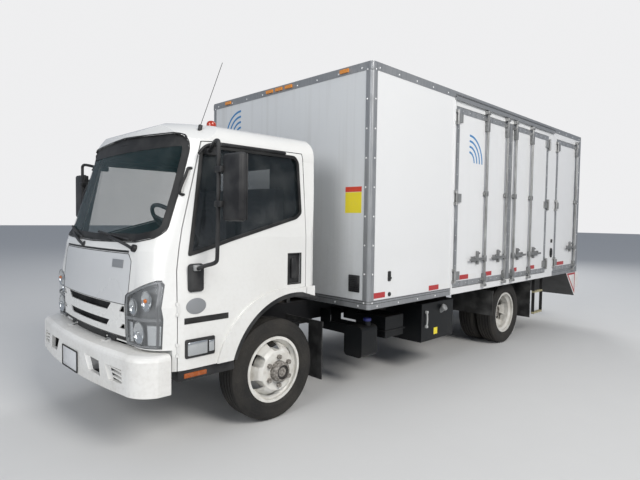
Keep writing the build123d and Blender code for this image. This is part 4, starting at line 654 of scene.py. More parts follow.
def plain(name, colour, roughness, metallic=0.0, speck=0.12):
    f = Finish(name)
    wear = f.clouds(30, 6, 0.5, 0.85)
    f.wear(Colour=f.blend(wear * speck, colour, (0.35, 0.33, 0.3)), Roughness=wear * 0.2 + roughness,
           Metallic=metallic, Normal=f.grain(260, 3, 0.0001))


def tapeFinish(name, colour):
    # reflective tape with its honeycomb of tiny cells
    f = Finish(name)
    comb = f.rise(f.cells(260), 0.2, 0.8)
    f.wear(Colour=f.blend(comb * 0.07, colour, (0.75, 0.72, 0.7)), Roughness=0.4, Coat=0.1,
           Normal=f.bump(comb, 0.0001))


def clothFinish():
    f = Finish("seatCloth")
    weave = ((f.y * 1400).sine() * (f.z * 1400).sine() + (f.x * 1400).sine() * 0.5) * 0.5 + 0.5
    share = weave * 0.4 + f.clouds(9, 5, 0.3, 0.8) * 0.3
    f.wear(Colour=f.blend(share, (0.055, 0.056, 0.06), (0.16, 0.165, 0.175)), Roughness=0.9,
           Normal=f.bump(weave, 0.0006))


def ladderFinish():
    # black with worn yellow rungs
    f = Finish("ladderPaint")
    rung = (abs(f.z - 0.3) < 0.0125).most(abs(f.z - 0.6) < 0.0125)
    grime = f.clouds(25, 7, 0.4, 0.7)
    yellow = f.blend(grime * 0.7, (0.42, 0.38, 0.22), (0.12, 0.11, 0.09))
    f.wear(Colour=f.blend(rung, (0.02, 0.02, 0.02), yellow), Roughness=0.6, Normal=f.bump(grime, 0.0005))


def apronFinish():
    # white, with the faces that look down painted black as shade
    f = Finish("apronPaint")
    dirt = f.clouds(6, 8, 0.4, 0.75)
    # painted shade: faces that look down are painted black
    under = f.upward() < -0.3
    f.wear(Colour=f.blend(under, f.blend(dirt * 0.35, white, (0.3, 0.28, 0.25)), (0.05, 0.05, 0.05)),
           Roughness=dirt * 0.3 + 0.4, Normal=f.grain(120, 4, 0.0003))


chassisBlack, chassisDust = (0.008, 0.008, 0.009), (0.12, 0.11, 0.095)
paint("bumperRib", bumperWhite, bumperDirt, 1.1, 0.34)
paint("boxPaint", boxWhite, boxDirt, 1.5, 0.3, 0.05)
paint("frontWallPaint", (0.64, 0.655, 0.66), (0.42, 0.42, 0.40), 1.8, 0.4, 0.35)
bareMetal("zinc", (0.44, 0.45, 0.45), (0.22, 0.22, 0.215), 0.45, 0.5)
bareMetal("castZinc", (0.27, 0.275, 0.275), (0.13, 0.13, 0.13), 0.42, 0.3)
bareMetal("rivet", (0.90, 0.90, 0.89), (0.7, 0.7, 0.7), 0.3)
darkPaint("chassis", chassisBlack, chassisDust, 0.3)
darkPaint("frameRails", chassisBlack, chassisDust, 0.3, 0.5, frontX + 1.03)
darkPaint("castIron", (0.045, 0.042, 0.04), (0.17, 0.15, 0.12), 0.9, 0.6)
# painted shade: the tanks' black paint and dust are made darker still, for the shade under the body
darkPaint("tankBlackShaded", (0.006, 0.007, 0.008), chassisDust, 0.25, 0.36)
darkPaint("machine", (0.23, 0.26, 0.28), (0.3, 0.29, 0.26), 0.5, 0.45)
darkPaint("deck", (0.09, 0.09, 0.09), (0.2, 0.19, 0.17), 1.0, 0.6)
grained("plastic", (0.014, 0.014, 0.015), 0.42)
grained("gasket", (0.012, 0.012, 0.012), 0.5, 500, 0.0001, 0.1)
grained("flapRubber", (0.02, 0.02, 0.02), 0.6, 150, 0.0006, 0.25)
grained("dash", (0.055, 0.056, 0.06), 0.6, 400, 0.0003, 0.05)
leafFinish("leftDoorLeaf", "left", boxSide)
leafFinish("rightDoorLeaf", "right", boxSide)
leafFinish("rearDoorLeaf", "rear", -boxRear)
glassFinish("windscreenGlass", (0.03, 0.075, 0.08), 0.06)
glassFinish("doorGlass", (0.010, 0.016, 0.018), 0.30)
plain("amberLens", (0.62, 0.16, 0.02), 0.2, 0.0, 0.05)
plain("darkAmberLens", (0.32, 0.075, 0.012), 0.25, 0.0, 0.1)
plain("reflector", (0.55, 0.57, 0.58), 0.1, 0.9, 0.05)
plain("lampHousing", (0.17, 0.175, 0.18), 0.3, 0.4, 0.05)
tapeFinish("redTape", (0.40, 0.003, 0.006))
tapeFinish("whiteTape", (0.72, 0.72, 0.71))
plain("blueVinyl", (0.03, 0.20, 0.45), 0.35)
plain("yellowVinyl", (0.80, 0.66, 0.03), 0.4)
plain("redVinyl", (0.62, 0.06, 0.03), 0.4)
plain("mirrorGlass", (0.5, 0.53, 0.55), 0.03, 1.0, 0.02)
plain("sightTube", (0.42, 0.43, 0.42), 0.25)
plain("blueCap", (0.015, 0.022, 0.17), 0.35)
plain("exhaustSteel", (0.20, 0.16, 0.13), 0.55, 0.6, 0.5)
plain("blankPlate", (0.66, 0.67, 0.68), 0.35, 0.1, 0.15)
plain("badgeGrey", (0.26, 0.27, 0.28), 0.35, 0.2, 0.1)
for makeFinish in (cabFinish, bumperFinish, railFinish, tyreFinish, frontWheelFinish, rearWheelFinish,
                   leftWallFinish, hoodFinish, lampFinish, redLampFinish, clothFinish, ladderFinish,
                   apronFinish):
    makeFinish()
print("finishes made:", len(finishes))

dressing = {  # each finish and the CAD nodes that wear it
    "frameRails": "frame_rails", "bumperPaint": "front_bumper", "exhaustSteel": "exhaust",
    "castIron": "front_axle leaf_springs rear_axle driveline knuckle_left knuckle_right tie_rod",
    "tankBlackShaded": "def_tank battery_box hydraulic_tank fuel_tank", "flapRubber": "mudflaps",
    "plastic": "air_cleaner grille_mesh mirror_left mirror_right", "ladderPaint": "access_ladder",
    "apronPaint": "tail_apron", "frontWheelPaint": "wheel_front_left wheel_front_right",
    "rearWheelPaint": "wheels_rear_left wheels_rear_right",
    "tyreRubber": "tyre_front_left tyre_front_right tyres_rear_left tyres_rear_right",
    "cabPaint": "cab_door_left cab_door_right cab_shell", "doorGlass": "door_glass_left door_glass_right",
    "windscreenGlass": "cab_glass", "hoodPaint": "front_panel", "lampLens": "cab_lamps",
    "dash": "dashboard", "seatCloth": "seats", "leftWallPaint": "body_side_left",
    "boxPaint": "body_side_right body_roof bulkhead", "frontWallPaint": "body_front_wall",
    "rail": "body_rails", "deck": "body_floor", "redLens": "body_lamps",
    "leftDoorLeaf": "side_door_front side_door_rear side_door_small", "rightDoorLeaf": "kerb_door",
    "rearDoorLeaf": "rear_door_left rear_door_right", "machine": "shredder_unit lift_mast lift_carriage",
}
for finish, names in dressing.items():
    for name in names.split():
        node[name].data.materials.clear()
        node[name].data.materials.append(finishes[finish])
print("CAD nodes dressed")


# Tyres with grooves, shoulders and raised side wall lines

tyreShape = {"groove": 0.004, "grooveDepth": 0.009, "grooves": (-0.056, -0.019, 0.019, 0.056), "tread": 0.088,
             "steps": 112, "wall": ((0.372, 0.105), (0.362, 0.1085), (0.359, 0.1075), (0.345, 0.1105),
                                    (0.325, 0.1125), (0.322, 0.1115), (0.305, 0.1118), (0.288, 0.1085),
                                    (0.284, 0.1095), (0.272, 0.103), (0.264, 0.093), (0.258, 0.086),
                                    (0.247, 0.084))}


def tyreProfile():
    # corners as (radius, across)
    tread, groove = tyreShape["tread"], tyreShape["groove"]
    top = [(tyreRadius - 0.014, -tread - 0.006), (tyreRadius - 0.004, -tread)]
    for middle in tyreShape["grooves"]:
        depth = tyreRadius - tyreShape["grooveDepth"]
        top += [(tyreRadius, middle - groove), (depth, middle - groove * 0.6),
                (depth, middle + groove * 0.6), (tyreRadius, middle + groove)]
    top += [(tyreRadius - 0.004, tread), (tyreRadius - 0.014, tread + 0.006)]
    wall = [(radius, across * (tyreWidth / 2) / 0.113) for radius, across in tyreShape["wall"]]
    return top + wall + [(r, -a) for r, a in reversed(wall)]


def makeTyres():
    print("tyres")
    profile = tyreProfile()
    letGo()
    bpy.ops.mesh.primitive_circle_add(vertices=len(profile), fill_type="NOTHING")
    first = bpy.context.object
    for vertex, (radius, across) in zip(first.data.vertices, profile):
        vertex.co = (0, across, wheelZ + radius)
    with editing(first):
        bpy.ops.mesh.spin(steps=tyreShape["steps"], angle=math.tau, center=(0, 0, wheelZ), axis=(0, 1, 0))
    faceOutwards(first)
    rearRows = (rearLow.y + tyreWidth / 2, rearHigh.y - tyreWidth / 2)
    for kind, end, x, rows in (("", "front", frontX, (frontTyreY,)), ("s", "rear", rearX, rearRows)):
        for side, sign in (("left", 1), ("right", -1)):
            copies = [copyOf(first, (x, sign * y, 0)) for y in rows]
            piece = done(f"tyre{kind}{end.title()}{side.title()}", copies, f"wheel{kind}_{end}_{side}",
                         "tyreRubber", 30)
            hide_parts(f"tyre{kind}_{end}_{side}")
    bpy.data.objects.remove(first)


makeTyres()


# Cab: glass surrounds, wipers, lamps, trim and handles

# Outlines on the cab's front are (y, z), and the windscreen's is its left half
screenTrim = {"frit": 0.052, "seal": 0.018, "sealGrowth": (1.009, 1.022),
              "half": [(0.640, 1.422), (0.800, 1.452), (0.862, 1.504), (0.862, 1.780), (0.852, 2.056),
                       (0.832, 2.120), (0.786, 2.160), (0.700, 2.179)],
              "topBand": [(-0.80, 2.085), (0.80, 2.085), (0.78, 2.135), (0.68, 2.150), (-0.68, 2.150),
                          (-0.78, 2.135)]}


def bothHalves(half):
    return half + [(-y, z) for y, z in reversed(half)]


def cabFront(y, z, target="cab_glass"):
    # where the cab's front skin lies at that height and side
    point = skinPoint((noseX, y, z), "x", (target, "cab_shell"))
    return point.x if point else frontX + 1.0


def cabSide(x, z):
    return skinPoint((x, 2, z), "y", ("cab_door_left", "cab_shell")).y


def makeScreenSurround():
    print("windscreen surround")
    skins = ("cab_glass", "cab_shell")
    half = screenTrim["half"]
    corners = rounded([(0, 1.410)] + half + [(0, 2.206)] + bothHalves(half)[len(half):], 0.03, 2)
    wide, high = screenTrim["sealGrowth"]
    grown = [(y * wide, 1.79 + (z - 1.79) * high) for y, z in corners]
    darkLine("windscreenBand", ring(corners, "x", noseX, screenTrim["frit"], 3), skins, 0.0012, 0.0016)
    darkLine("windscreenTopBand", noseSheet(screenTrim["topBand"], 0.03), skins, 0.0008, 0.0012)
    darkLine("windscreenRubber", ring(grown, "x", noseX, screenTrim["seal"], 3), skins, 0.002, 0.005)


makeScreenSurround()

wiperShape = {"arm": 0.0105, "blade": 0.0085, "spine": 0.004,
              "Left": ((0.66, 1.375), (0.06, 1.475)), "Right": ((-0.15, 1.365), (-0.70, 1.50))}


def makeWipers():
    print("wipers")
    for side in ("Left", "Right"):
        pivot, tip = wiperShape[side]
        base = cabFront(pivot[0], pivot[1] + 0.05)
        mount = disc((base + 0.012, *pivot), 0.026, 0.05, (1, 0, 0.25), 20, 0.006)
        elbow = (base + 0.035, pivot[0] - 0.12, pivot[1] + 0.03)
        middle = ((pivot[0] + tip[0]) / 2 - 0.06, (pivot[1] + tip[1]) / 2 + 0.02)
        crest = cabFront(*middle) + 0.028
        arm = tube([(base + 0.035, *pivot), elbow, (crest, *middle)], wiperShape["arm"])
        points = []
        for step in range(7):
            y = pivot[0] - 0.10 + (tip[0] - pivot[0] + 0.10) * step / 6
            z = pivot[1] + 0.055 + (tip[1] - pivot[1] - 0.055) * step / 6
            points.append((cabFront(y, z) + 0.011, y, z))
        blade = tube(points, wiperShape["blade"])
        spine = tube([(x + 0.010, y, z + 0.004) for x, y, z in points[1:6]], wiperShape["spine"])
        done("wiper" + side, [mount, arm, blade, spine], "cab", "plastic")


makeWipers()

hoodTrim = {"edge": [(0.613, 0.763), (0.613, 1.052), (0.641, 1.076), (0.641, 1.289), (0.601, 1.339)],
            "valanceShadowSpans": ((-0.606, -0.368), (-0.322, 0.322), (0.368, 0.606)), "ribSpacing": 0.016,
            "slots": ((0.932, 0.983, 0.415), (0.816, 0.858, 0.385))}


def strip(low, high, bottom, top):
    return [(low, bottom), (high, bottom), (high, top), (low, top)]


def makeHoodTrim():
    print("front panel seams, badge and vent edge")
    seam = ring(bothHalves(hoodTrim["edge"]), "x", noseX, 0.005, 12)
    darkLine("hoodSeam", seam, ("front_panel", "cab_shell", "cab_lamps"), 0.0004, 0.0012)
    edge = noseSheet(strip(-0.609, 0.609, 0.9885, 0.9925), 0.015)
    darkLine("hoodLowerSeam", edge, ("front_panel",), 0.0004, 0.001)
    badge = onNose(noseSheet(strip(0.40, 0.545, 1.235, 1.292), 0.012), ("front_panel",), 0.002, 0.004)
    done("hoodBadge", soften(badge, 0.001), "cab", "badgeGrey")
    cowl = noseSheet(strip(-0.60, 0.60, 1.343, 1.358), 0.02)
    darkLine("cowlGap", cowl, ("cab_shell", "front_panel"), 0.0006, 0.001)
    # painted shadow: dark sheets on the recessed valance, in the gap under the front panel
    gaps = [onNose(noseSheet(strip(low, high, 0.708, 0.760), 0.02), ("cab_shell",), 0.0008, 0.0012)
            for low, high in hoodTrim["valanceShadowSpans"]]
    done("valanceShadow", gaps, "cab", "gasket")
    ribs = []
    spacing = hoodTrim["ribSpacing"]
    for low, high, half in hoodTrim["slots"]:
        x = cabFront(0, (low + high) / 2, "grille_mesh")
        rib = block((x - 0.012, -half - 0.002, low), (x + 0.006, -half + 0.002, high), 0.001, 1)
        ribs.append(repeat(rib, int(2 * half / spacing), (0, spacing, 0)))
    done("grilleRibs", ribs, "cab", "plastic")


makeHoodTrim()

headLamp = {"edge": [(0.618, 0.728), (0.922, 0.736), (0.928, 0.930), (0.912, 1.138), (0.898, 1.166),
                     (0.881, 1.166), (0.646, 1.071), (0.618, 1.049)],
            "bar": [(0.622, 0.897), (0.938, 0.912), (0.938, 0.930), (0.622, 0.915)],
            "bowls": ((0.835, 1.040, 0.070, True), (0.690, 0.985, 0.058, False),
                      (0.765, 0.820, 0.074, False)),
            "facets": ([(0.850, 0.750), (0.925, 0.752), (0.930, 0.880), (0.850, 0.880)],
                       [(0.628, 0.745), (0.680, 0.748), (0.680, 0.880), (0.628, 0.880)])}


def makeHeadLamps():
    print("head lamps")
    skins = ("cab_lamps", "cab_shell")
    housing = [onNose(noseSheet(headLamp["edge"], 0.02), skins, -0.050, 0.003),
               onNose(ring(headLamp["edge"], "x", noseX, 0.011, 8), skins, -0.003, 0.005),
               onNose(noseSheet(headLamp["bar"], 0.02), skins[:1], -0.004, 0.006)]
    bowls = []
    bulbs = []
    for y, z, radius, lit in headLamp["bowls"]:
        x = cabFront(y, z, "cab_lamps") - 0.010
        letGo()
        bpy.ops.mesh.primitive_uv_sphere_add(segments=32, ring_count=16, radius=radius, location=(x, y, z))
        bowl = bpy.context.object
        bowl.scale = (0.40, 1, 1)
        settle(bowl)
        with editing(bowl):
            bpy.ops.mesh.bisect(plane_co=(x, y, z), plane_no=(1, 0, 0), clear_outer=True)
        bowls.append(thicken(bowl, 0.002))
        bulb = disc((x + 0.004, y, z), radius * 0.2, 0.018, (1, 0, 0), 20, 0.005)
        (bulbs if lit else bowls).append(bulb)
    bowls += [onNose(noseSheet(corners, 0.012), skins[:1], -0.014, 0.003) for corners in headLamp["facets"]]
    mirrorPair("headLampHousing", housing, "cab", "lampHousing")
    mirrorPair("headLampBowls", bowls, "cab", "reflector")
    mirrorPair("headLampBulbs", bulbs, "cab", "amberLens")


makeHeadLamps()

doorTrim = {"window": [(0.794, 1.329), (0.474, 1.425), (-0.160, 1.590), (-0.214, 1.633), (-0.208, 2.046),
                       (-0.166, 2.091), (0.622, 2.091), (0.670, 2.046)], "seal": 0.024,
            "visor": [(0.70, 0.952, 2.02), (0.66, 0.955, 2.085), (0.55, 0.957, 2.10), (0.2, 0.957, 2.105),
                      (-0.06, 0.957, 2.10)], "oval": (0.745, 1.0, 0.075, 0.72)}


def makeDoorTrim():
    print("cab door trim")
    x = frontX
    corners = rounded([(x + dx, z) for dx, z in doorTrim["window"]], 0.02, 2)
    seal = layOn(ring(corners, "y", 1.2, doorTrim["seal"], 3), ("cab_door_left", "cab_shell"), "y", 0.001)
    mirrorPair("doorWindowSeal", thicken(seal, 0.006), "cab_door", "gasket")
    visor = tube([(x + dx, y, z) for dx, y, z in doorTrim["visor"]], 0.011)
    mirrorPair("doorVisor", visor, "cab_door", "plastic")
    skin = cabSide(x + 0.02, 1.2)
    handle = [block((x - 0.196, skin - 0.024, 1.083), (x - 0.067, skin - 0.014, 1.314), 0.006),
              block((x - 0.15, skin - 0.016, 1.12), (x - 0.10, skin + 0.006, 1.28), 0.009, 3),
              thicken(ring(strip(x - 0.203, x - 0.06, 1.074, 1.322), "y", skin + 0.001, 0.009, 0), 0.004)]
    mirrorPair("doorHandle", handle, "cab_door", "plastic")
    dx, z, radius, squash = doorTrim["oval"]
    skin = cabSide(x + dx, z)
    oval = disc((x + dx, skin + 0.0015, z), radius, 0.003, (0, 1, 0), 40, 0.001)
    mirrorPair("doorOval", stretchUp(oval, z, squash), "cab_door", "badgeGrey")
    band = block((x + 0.488, skin - 0.004, 0.885), (x + 0.831, skin + 0.003, 0.926), 0.002)
    mirrorPair("doorStrip", band, "cab_door", "gasket")
    skin = cabSide(x + 0.71, 0.71)
    bezel = block((x + 0.600, skin - 0.01, 0.655), (x + 0.828, skin + 0.014, 0.782), 0.012, 3)
    lenses = [block((x + 0.665, skin, 0.672), (x + 0.815, skin + 0.022, 0.765), 0.008, 3),
              block((x + 0.612, skin, 0.680), (x + 0.655, skin + 0.020, 0.757), 0.006, 3)]
    mirrorPair("sideLamp", bezel, "cab_door", "plastic")
    mirrorPair("sideLens", lenses, "cab_door", "reflector")


makeDoorTrim()

mirrorShape = {"at": 0.706, "stem": 1.200, "arm": 0.0135}


def makeMirrors():
    print("door mirrors")
    x, stem = frontX + mirrorShape["at"], mirrorShape["stem"]
    skin = cabSide(frontX + 0.76, 1.2)
    left = [tube([(x + 0.054, skin - 0.01, 1.235), (x + 0.045, 1.09, 1.275), (x + 0.012, stem, 1.30),
                  (x + 0.005, stem, 1.34), (x, stem, 1.7), (x, stem, 2.03), (x, stem, 2.09),
                  (x - 0.02, stem - 0.09, 2.085), (x - 0.09, 0.955, 2.045)], mirrorShape["arm"], 3, 10),
            block((x - 0.064, 1.226, 1.572), (x - 0.006, 1.430, 1.998), 0.024, 4),
            block((x - 0.070, 1.234, 1.580), (x - 0.060, 1.422, 1.990), 0.004, 2),
            block((x - 0.016, skin - 0.02, 1.095), (x + 0.100, skin + 0.028, 1.285), 0.03, 5),
            block((x - 0.15, 0.925, 2.02), (x - 0.06, 0.968, 2.066), 0.01, 3)]
    left += [block((x - 0.03, stem - 0.022, z - 0.02), (x + 0.018, stem + 0.05, z + 0.02), 0.007, 3)
             for z in (1.68, 1.90)]
    glass = block((x - 0.0725, 1.242, 1.588), (x - 0.0695, 1.414, 1.982), 0.0012, 2)
    clamp = block((x + 0.026, skin, 1.238), (x + 0.076, skin + 0.045, 1.278), 0.008, 3)
    pair = mirrorPair("mirror", left, "cab_door", "plastic")
    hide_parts("mirror_left")
    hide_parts("mirror_right")
    mirrorPair("mirrorGlass", glass, "cab_door", "mirrorGlass")
    mirrorPair("mirrorFootClamp", clamp, "cab_door", "zinc")


makeMirrors()

archShape = {"x": frontX - 0.13, "radius": 0.612, "width": 0.04, "from": 17.5, "sweep": 80.0, "steps": 14,
             "handleY": 0.893, "handleRadius": 0.010}


def makeArchTrim():
    print("wheel arch mouldings, sills and grab handles")
    radius = archShape["radius"]
    outer = []
    inner = []
    for step in range(archShape["steps"] + 1):
        angle = math.radians(archShape["from"] + archShape["sweep"] * step / archShape["steps"])
        for points, reach in ((outer, radius), (inner, radius - archShape["width"])):
            points.append((archShape["x"] + reach * math.cos(angle), wheelZ + reach * math.sin(angle)))
    outer += [(frontX - 0.30, 0.9955), (frontX - 0.385, 0.965)]
    inner += [(frontX - 0.29, 0.955), (frontX - 0.385, 0.925)]
    moulding = soften(thicken(outline(outer + inner[::-1], "y", 0.985), 0.055), 0.006)
    mirrorPair("archMoulding", moulding, "cab", "plastic")
    sill = block((frontX + 0.42, 0.70, 0.500), (frontX + 0.872, 0.985, 0.578), 0.012, 3)
    mirrorPair("sillStep", sill, "cab", "plastic")
    marker = block((frontX + 0.655, 0.980, 0.520), (frontX + 0.826, 0.992, 0.552), 0.004, 3)
    mirrorPair("sillMarker", marker, "cab", "darkAmberLens")
    handles = []
    for y in (archShape["handleY"], -archShape["handleY"]):
        top = cabFront(y, 1.925, "cab_shell")
        low = cabFront(y, 1.745, "cab_shell")
        handles.append(tube([(top - 0.004, y, 1.925), (top + 0.026, y, 1.93), (top + 0.030, y, 1.90),
                             (low + 0.030, y, 1.775), (low + 0.026, y, 1.74), (low - 0.004, y, 1.745)],
                            archShape["handleRadius"]))
    done("pillarHandles", handles, "cab", "plastic")


makeArchTrim()

bumperTrim = {"hole": ((0.366, 0.610), (0.496, 0.606), (0.512, 0.508), (0.396, 0.514)),
              "lampHole": ((0.622, 0.606), (0.788, 0.603), (0.790, 0.508), (0.654, 0.506)),
              "ribs": ((0.528, 0.638), (0.556, 0.622), (0.584, 0.608)),
              "notch": ((0.293, 0.324), (0.366, 0.387)),
              "endSlope": ((0.9955, 0.682), (0.9878, 0.694), (0.986, 0.6965), (0.975, 0.6965),
                           (0.975, 0.682))}


def makeBumperTrim():
    print("bumper lamps, plate and lower edge")
    nose = bumperNose
    plateRing = thicken(ring(strip(-0.158, 0.158, 0.447, 0.605), "x", nose + 0.004, 0.008, 0), 0.006)
    done("plateFrame", plateRing, "chassis", "chassis")
    plate = block((nose - 0.0005, -0.1525, 0.450), (nose + 0.003, 0.1525, 0.602), 0.0012, 2)
    done("numberPlate", plate, "chassis", "blankPlate")
    pocketShadows = []
    ribs = []
    for side in (1, -1):
        # painted shade: black plates at the backs of the lamp pockets
        for key, depth in (("hole", 0.110), ("lampHole", 0.111)):
            back = outline([(side * y, z) for y, z in bumperTrim[key]], "x", nose - depth)
            pocketShadows.append(thicken(back, 0.004))
        for z, inner in bumperTrim["ribs"]:
            low, high = sorted((side * inner, side * 0.786))
            ribs.append(block((nose - 0.110, low, z - 0.006), (nose - 0.060, high, z + 0.006), 0.003))
        for inner, outer in bumperTrim["notch"]:
            low, high = sorted((side * inner, side * outer))
            ribs.append(block((frontX + 1.066, low, 0.690), (frontX + 1.121, high, 0.7005), 0.001, 1))
        slope = outline([(side * y, z) for y, z in bumperTrim["endSlope"]], "x", frontX + 0.9555)
        ribs.append(thicken(slope, 0.061))
    done("bumperPocketShadows", pocketShadows, "chassis", "chassis")
    done("bumperRibs", ribs, "chassis", "bumperRib")


makeBumperTrim()


aerialShape = {"foot": (frontX + 0.60, 0.80, 2.222), "footRadius": 0.015, "radius": 0.0022,
               "whip": ((-0.003, 0.02), (-0.07, 0.20), (-0.183, 0.50))}


def makeAerial():
    print("aerial")
    x, y, z = aerialShape["foot"]
    foot = disc((x, y, z), aerialShape["footRadius"], 0.05, (-0.2, 0, 1), 20, 0.004)
    whip = tube([(x + back, y, z + up) for back, up in aerialShape["whip"]], aerialShape["radius"], 3, 12)
    done("aerial", [foot, whip], "cab", "plastic")


makeAerial()

# Seats behind the glass, with the middle and half width of each
seatShape = {"Left": (0.43, 0.24), "Right": (-0.36, 0.33), "back": frontX - 0.27, "crown": 0.028}


def cushion(low, high, crownAxis):
    # a soft block with a domed face and two sewn channels
    middle = [(a + b) / 2 for a, b in zip(low, high)]
    half = [(b - a) / 2 for a, b in zip(low, high)]
    piece = block(low, high, 0)
    with editing(piece):
        bpy.ops.mesh.subdivide(number_cuts=13)
    soften(piece, 0.03, 3, 60)
    flat = [i for i in range(3) if i != crownAxis]
    for vertex in piece.data.vertices:
        part = [(vertex.co[i] - middle[i]) / half[i] for i in range(3)]
        fullness = math.prod(max(0.0, 1 - part[i] ** 2) ** 0.5 for i in flat)
        sunk = sum(math.exp(-((part[1] - line) / 0.05) ** 2) for line in (-0.55, 0.55))
        if part[crownAxis] > 0:
            vertex.co[crownAxis] += seatShape["crown"] * fullness - 0.012 * sunk * fullness
        for i in flat:
            vertex.co[i] -= 0.03 * half[i] * part[i] * (1 - abs(part[crownAxis]))
    return useModifier(piece, "SUBSURF", levels=1, render_levels=1)


def makeSeats():
    print("seats")
    back = seatShape["back"]
    for side in ("Left", "Right"):
        y, half = seatShape[side]
        base = cushion((back, y - half, 1.19), (back + 0.47, y + half, 1.285), 2)
        rest = cushion((back - 0.02, y - half + 0.012, 1.30), (back + 0.085, y + half - 0.012, 1.85), 0)
        for vertex in rest.data.vertices:
            vertex.co.x -= (vertex.co.z - 1.30) * 0.04
        for name, piece in (("seatBase", base), ("seatRest", rest)):
            done(name + side, piece, "cab", "seatCloth", 60)
        if side == "Left":
            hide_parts("seats")
        plinth = block((back + 0.022, y - half + 0.042, 1.10), (back + 0.29, y + half - 0.042, 1.188), 0.01)
        done("seatPlinth" + side, plinth, "cab", "dash")


makeSeats()


# Box: rivets, tape, motif, fittings

rivetShape = {"upright": 0.258, "along": 0.28, "sill": 0.30, "head": 0.0085, "doorHead": 0.005}


def makeRivets():
    print("rivets")
    upright, along = rivetShape["upright"], rivetShape["along"]
    rows = []
    y = boxSide + 0.0002
    low, high = boxBottom + 0.055, boxTop - 0.065
    top, bottom = boxTop - 0.045, boxBottom + 0.022
    face = boxFront + 0.0002
    for side in (1, -1):
        end = frontX - 2.15 if side == 1 else boxRear + 0.1
        for front, frontZ, rear, rearZ, spacing in (
                (boxFront - 0.050, low, boxFront - 0.050, high, upright),
                (boxFront - 0.10, top, boxRear + 0.1, top, along),
                (boxRear + 0.055, boxBottom + 0.1, boxRear + 0.055, high, upright),
                (boxFront - 0.12, bottom, end, bottom, rivetShape["sill"])):
            rows.append(rivetRow((front, side * y, frontZ), (rear, side * y, rearZ), spacing, (0, side, 0)))
        rows.append(rivetRow((face, side * 1.165, low), (face, side * 1.165, high), upright, (1, 0, 0)))
    for z in (top, bottom):
        rows.append(rivetRow((face, -1.1, z), (face, 1.1, z), along, (1, 0, 0)))
    done("boxRivets", rows, "chassis", "rivet", 60)


makeRivets()

leftLeaves = {  # rear edge, front edge, and each lock rod with the way its handle points, from the front axle
    "side_door_front": (-3.454, -2.18, ((-2.82, 1), (-3.33, 1))),
    "side_door_rear": (-4.66, -3.446, ((-3.565, -1), (-4.06, -1))),
    "side_door_small": (-5.80, -4.975, ((-5.745, 1),)),
}
lockShape = {"rodY": boxSide + 0.026, "guides": ((0.955, 0.045), (1.905, 0.030), (2.67, 0.070)),
             "bolts": (-0.026, 0.026), "cams": (0.868, 2.812), "palm": 0.31, "gripRadius": 0.0085,
             "handleZ": 1.17, "smallHandleZ": 1.21,
             "catches": ((0.150, 0.011, 0.088, 0.062), (0.245, 0.014, 0.03, 0.03)),
             "grip": ((0, 0.006, 0), (0.1, 0.012, 0.004), (0.24, 0.012, 0.004), (0.345, 0.008, -0.002))}


def lockFittings(x, way, handleZ):
    # guides, cams, handle and catches of one lock rod
    rodY = lockShape["rodY"]
    palm = x + way * lockShape["palm"]
    grip = [(x + way * dx, rodY + dy, handleZ + dz) for dx, dy, dz in lockShape["grip"]]
    fittings = [disc((x, rodY, handleZ), 0.023, 0.07, (0, 0, 1), 20, 0.005),
                tube(grip, lockShape["gripRadius"]),
                block((palm - 0.042, rodY, handleZ - 0.013),
                      (palm + 0.042, rodY + 0.018, handleZ + 0.013), 0.007, 3)]
    for z, half in lockShape["guides"]:
        fittings += [block((x - 0.021, rodY - 0.03, z - half), (x + 0.021, rodY + 0.018, z + half), 0.008, 3)]
        fittings += [disc((x + dx, boxSide + 0.013, z), 0.0065, 0.01, (0, 1, 0), 8, 0)
                     for dx in lockShape["bolts"]]
    for z in lockShape["cams"]:
        fittings += [disc((x, rodY, z), 0.021, 0.036, (0, 0, 1), 20, 0.004),
                     block((x - 0.010, rodY - 0.024, z - 0.012), (x + 0.010, rodY, z + 0.012), 0.004)]
    for catch, wide, top, bottom in lockShape["catches"]:
        cx = x + way * catch
        fittings += [block((cx - wide, boxSide - 0.003, handleZ - bottom),
                           (cx + wide, rodY + 0.004, handleZ + top), 0.006, 3),
                     disc((cx, rodY + 0.006, handleZ + top * 0.75), wide, 0.022, (0, 1, 0), 12, 0.002)]
    return fittings


def makeDoorDetails():
    print("door rivets, rod bearings and latches")
    y = boxSide + 0.0002
    for name, (rearEdge, frontEdge, *rest) in leftLeaves.items():
        rear, front = frontX + rearEdge, frontX + frontEdge
        ends = [((rear + 0.12, y, z), (front - 0.12, y, z), 0.15) for z in (0.92, 2.752)]
        ends += [((x, y, 1.12), (x, y, 2.56), 0.16) for x in (rear + 0.03, front - 0.03)]
        rows = [rivetRow(*row, (0, 1, 0), "doorHead") for row in ends]
        done(name + "Rivets", rows, name, "rivet", 60)
    for name, (*edges, rods) in leftLeaves.items():
        fittings = []
        handleZ = lockShape["smallHandleZ" if name == "side_door_small" else "handleZ"]
        for offset, way in rods:
            fittings += lockFittings(frontX + offset, way, handleZ)
        done(name + "Fittings", fittings, name, "castZinc")


makeDoorDetails()

tapeRows = {  # front and rear of each red length from the front axle, and its middle height
    "chassis": ((-0.854, -1.022, 0.930), (-1.724, -1.904, 0.922)),
    "side_door_front": ((-2.32, -2.506, 0.985), (-2.873, -3.056, 0.985)),
    "side_door_rear": ((-3.632, -3.748, 0.985), (-4.141, -4.307, 0.985)),
    "side_door_small": ((-5.119, -5.396, 0.985),),
}
tapeShape = {"half": 0.025, "white": 0.18, "edge": 0.0003, "kerbZ": 0.930, "kerbRed": 0.28, "kerbStep": 0.62}


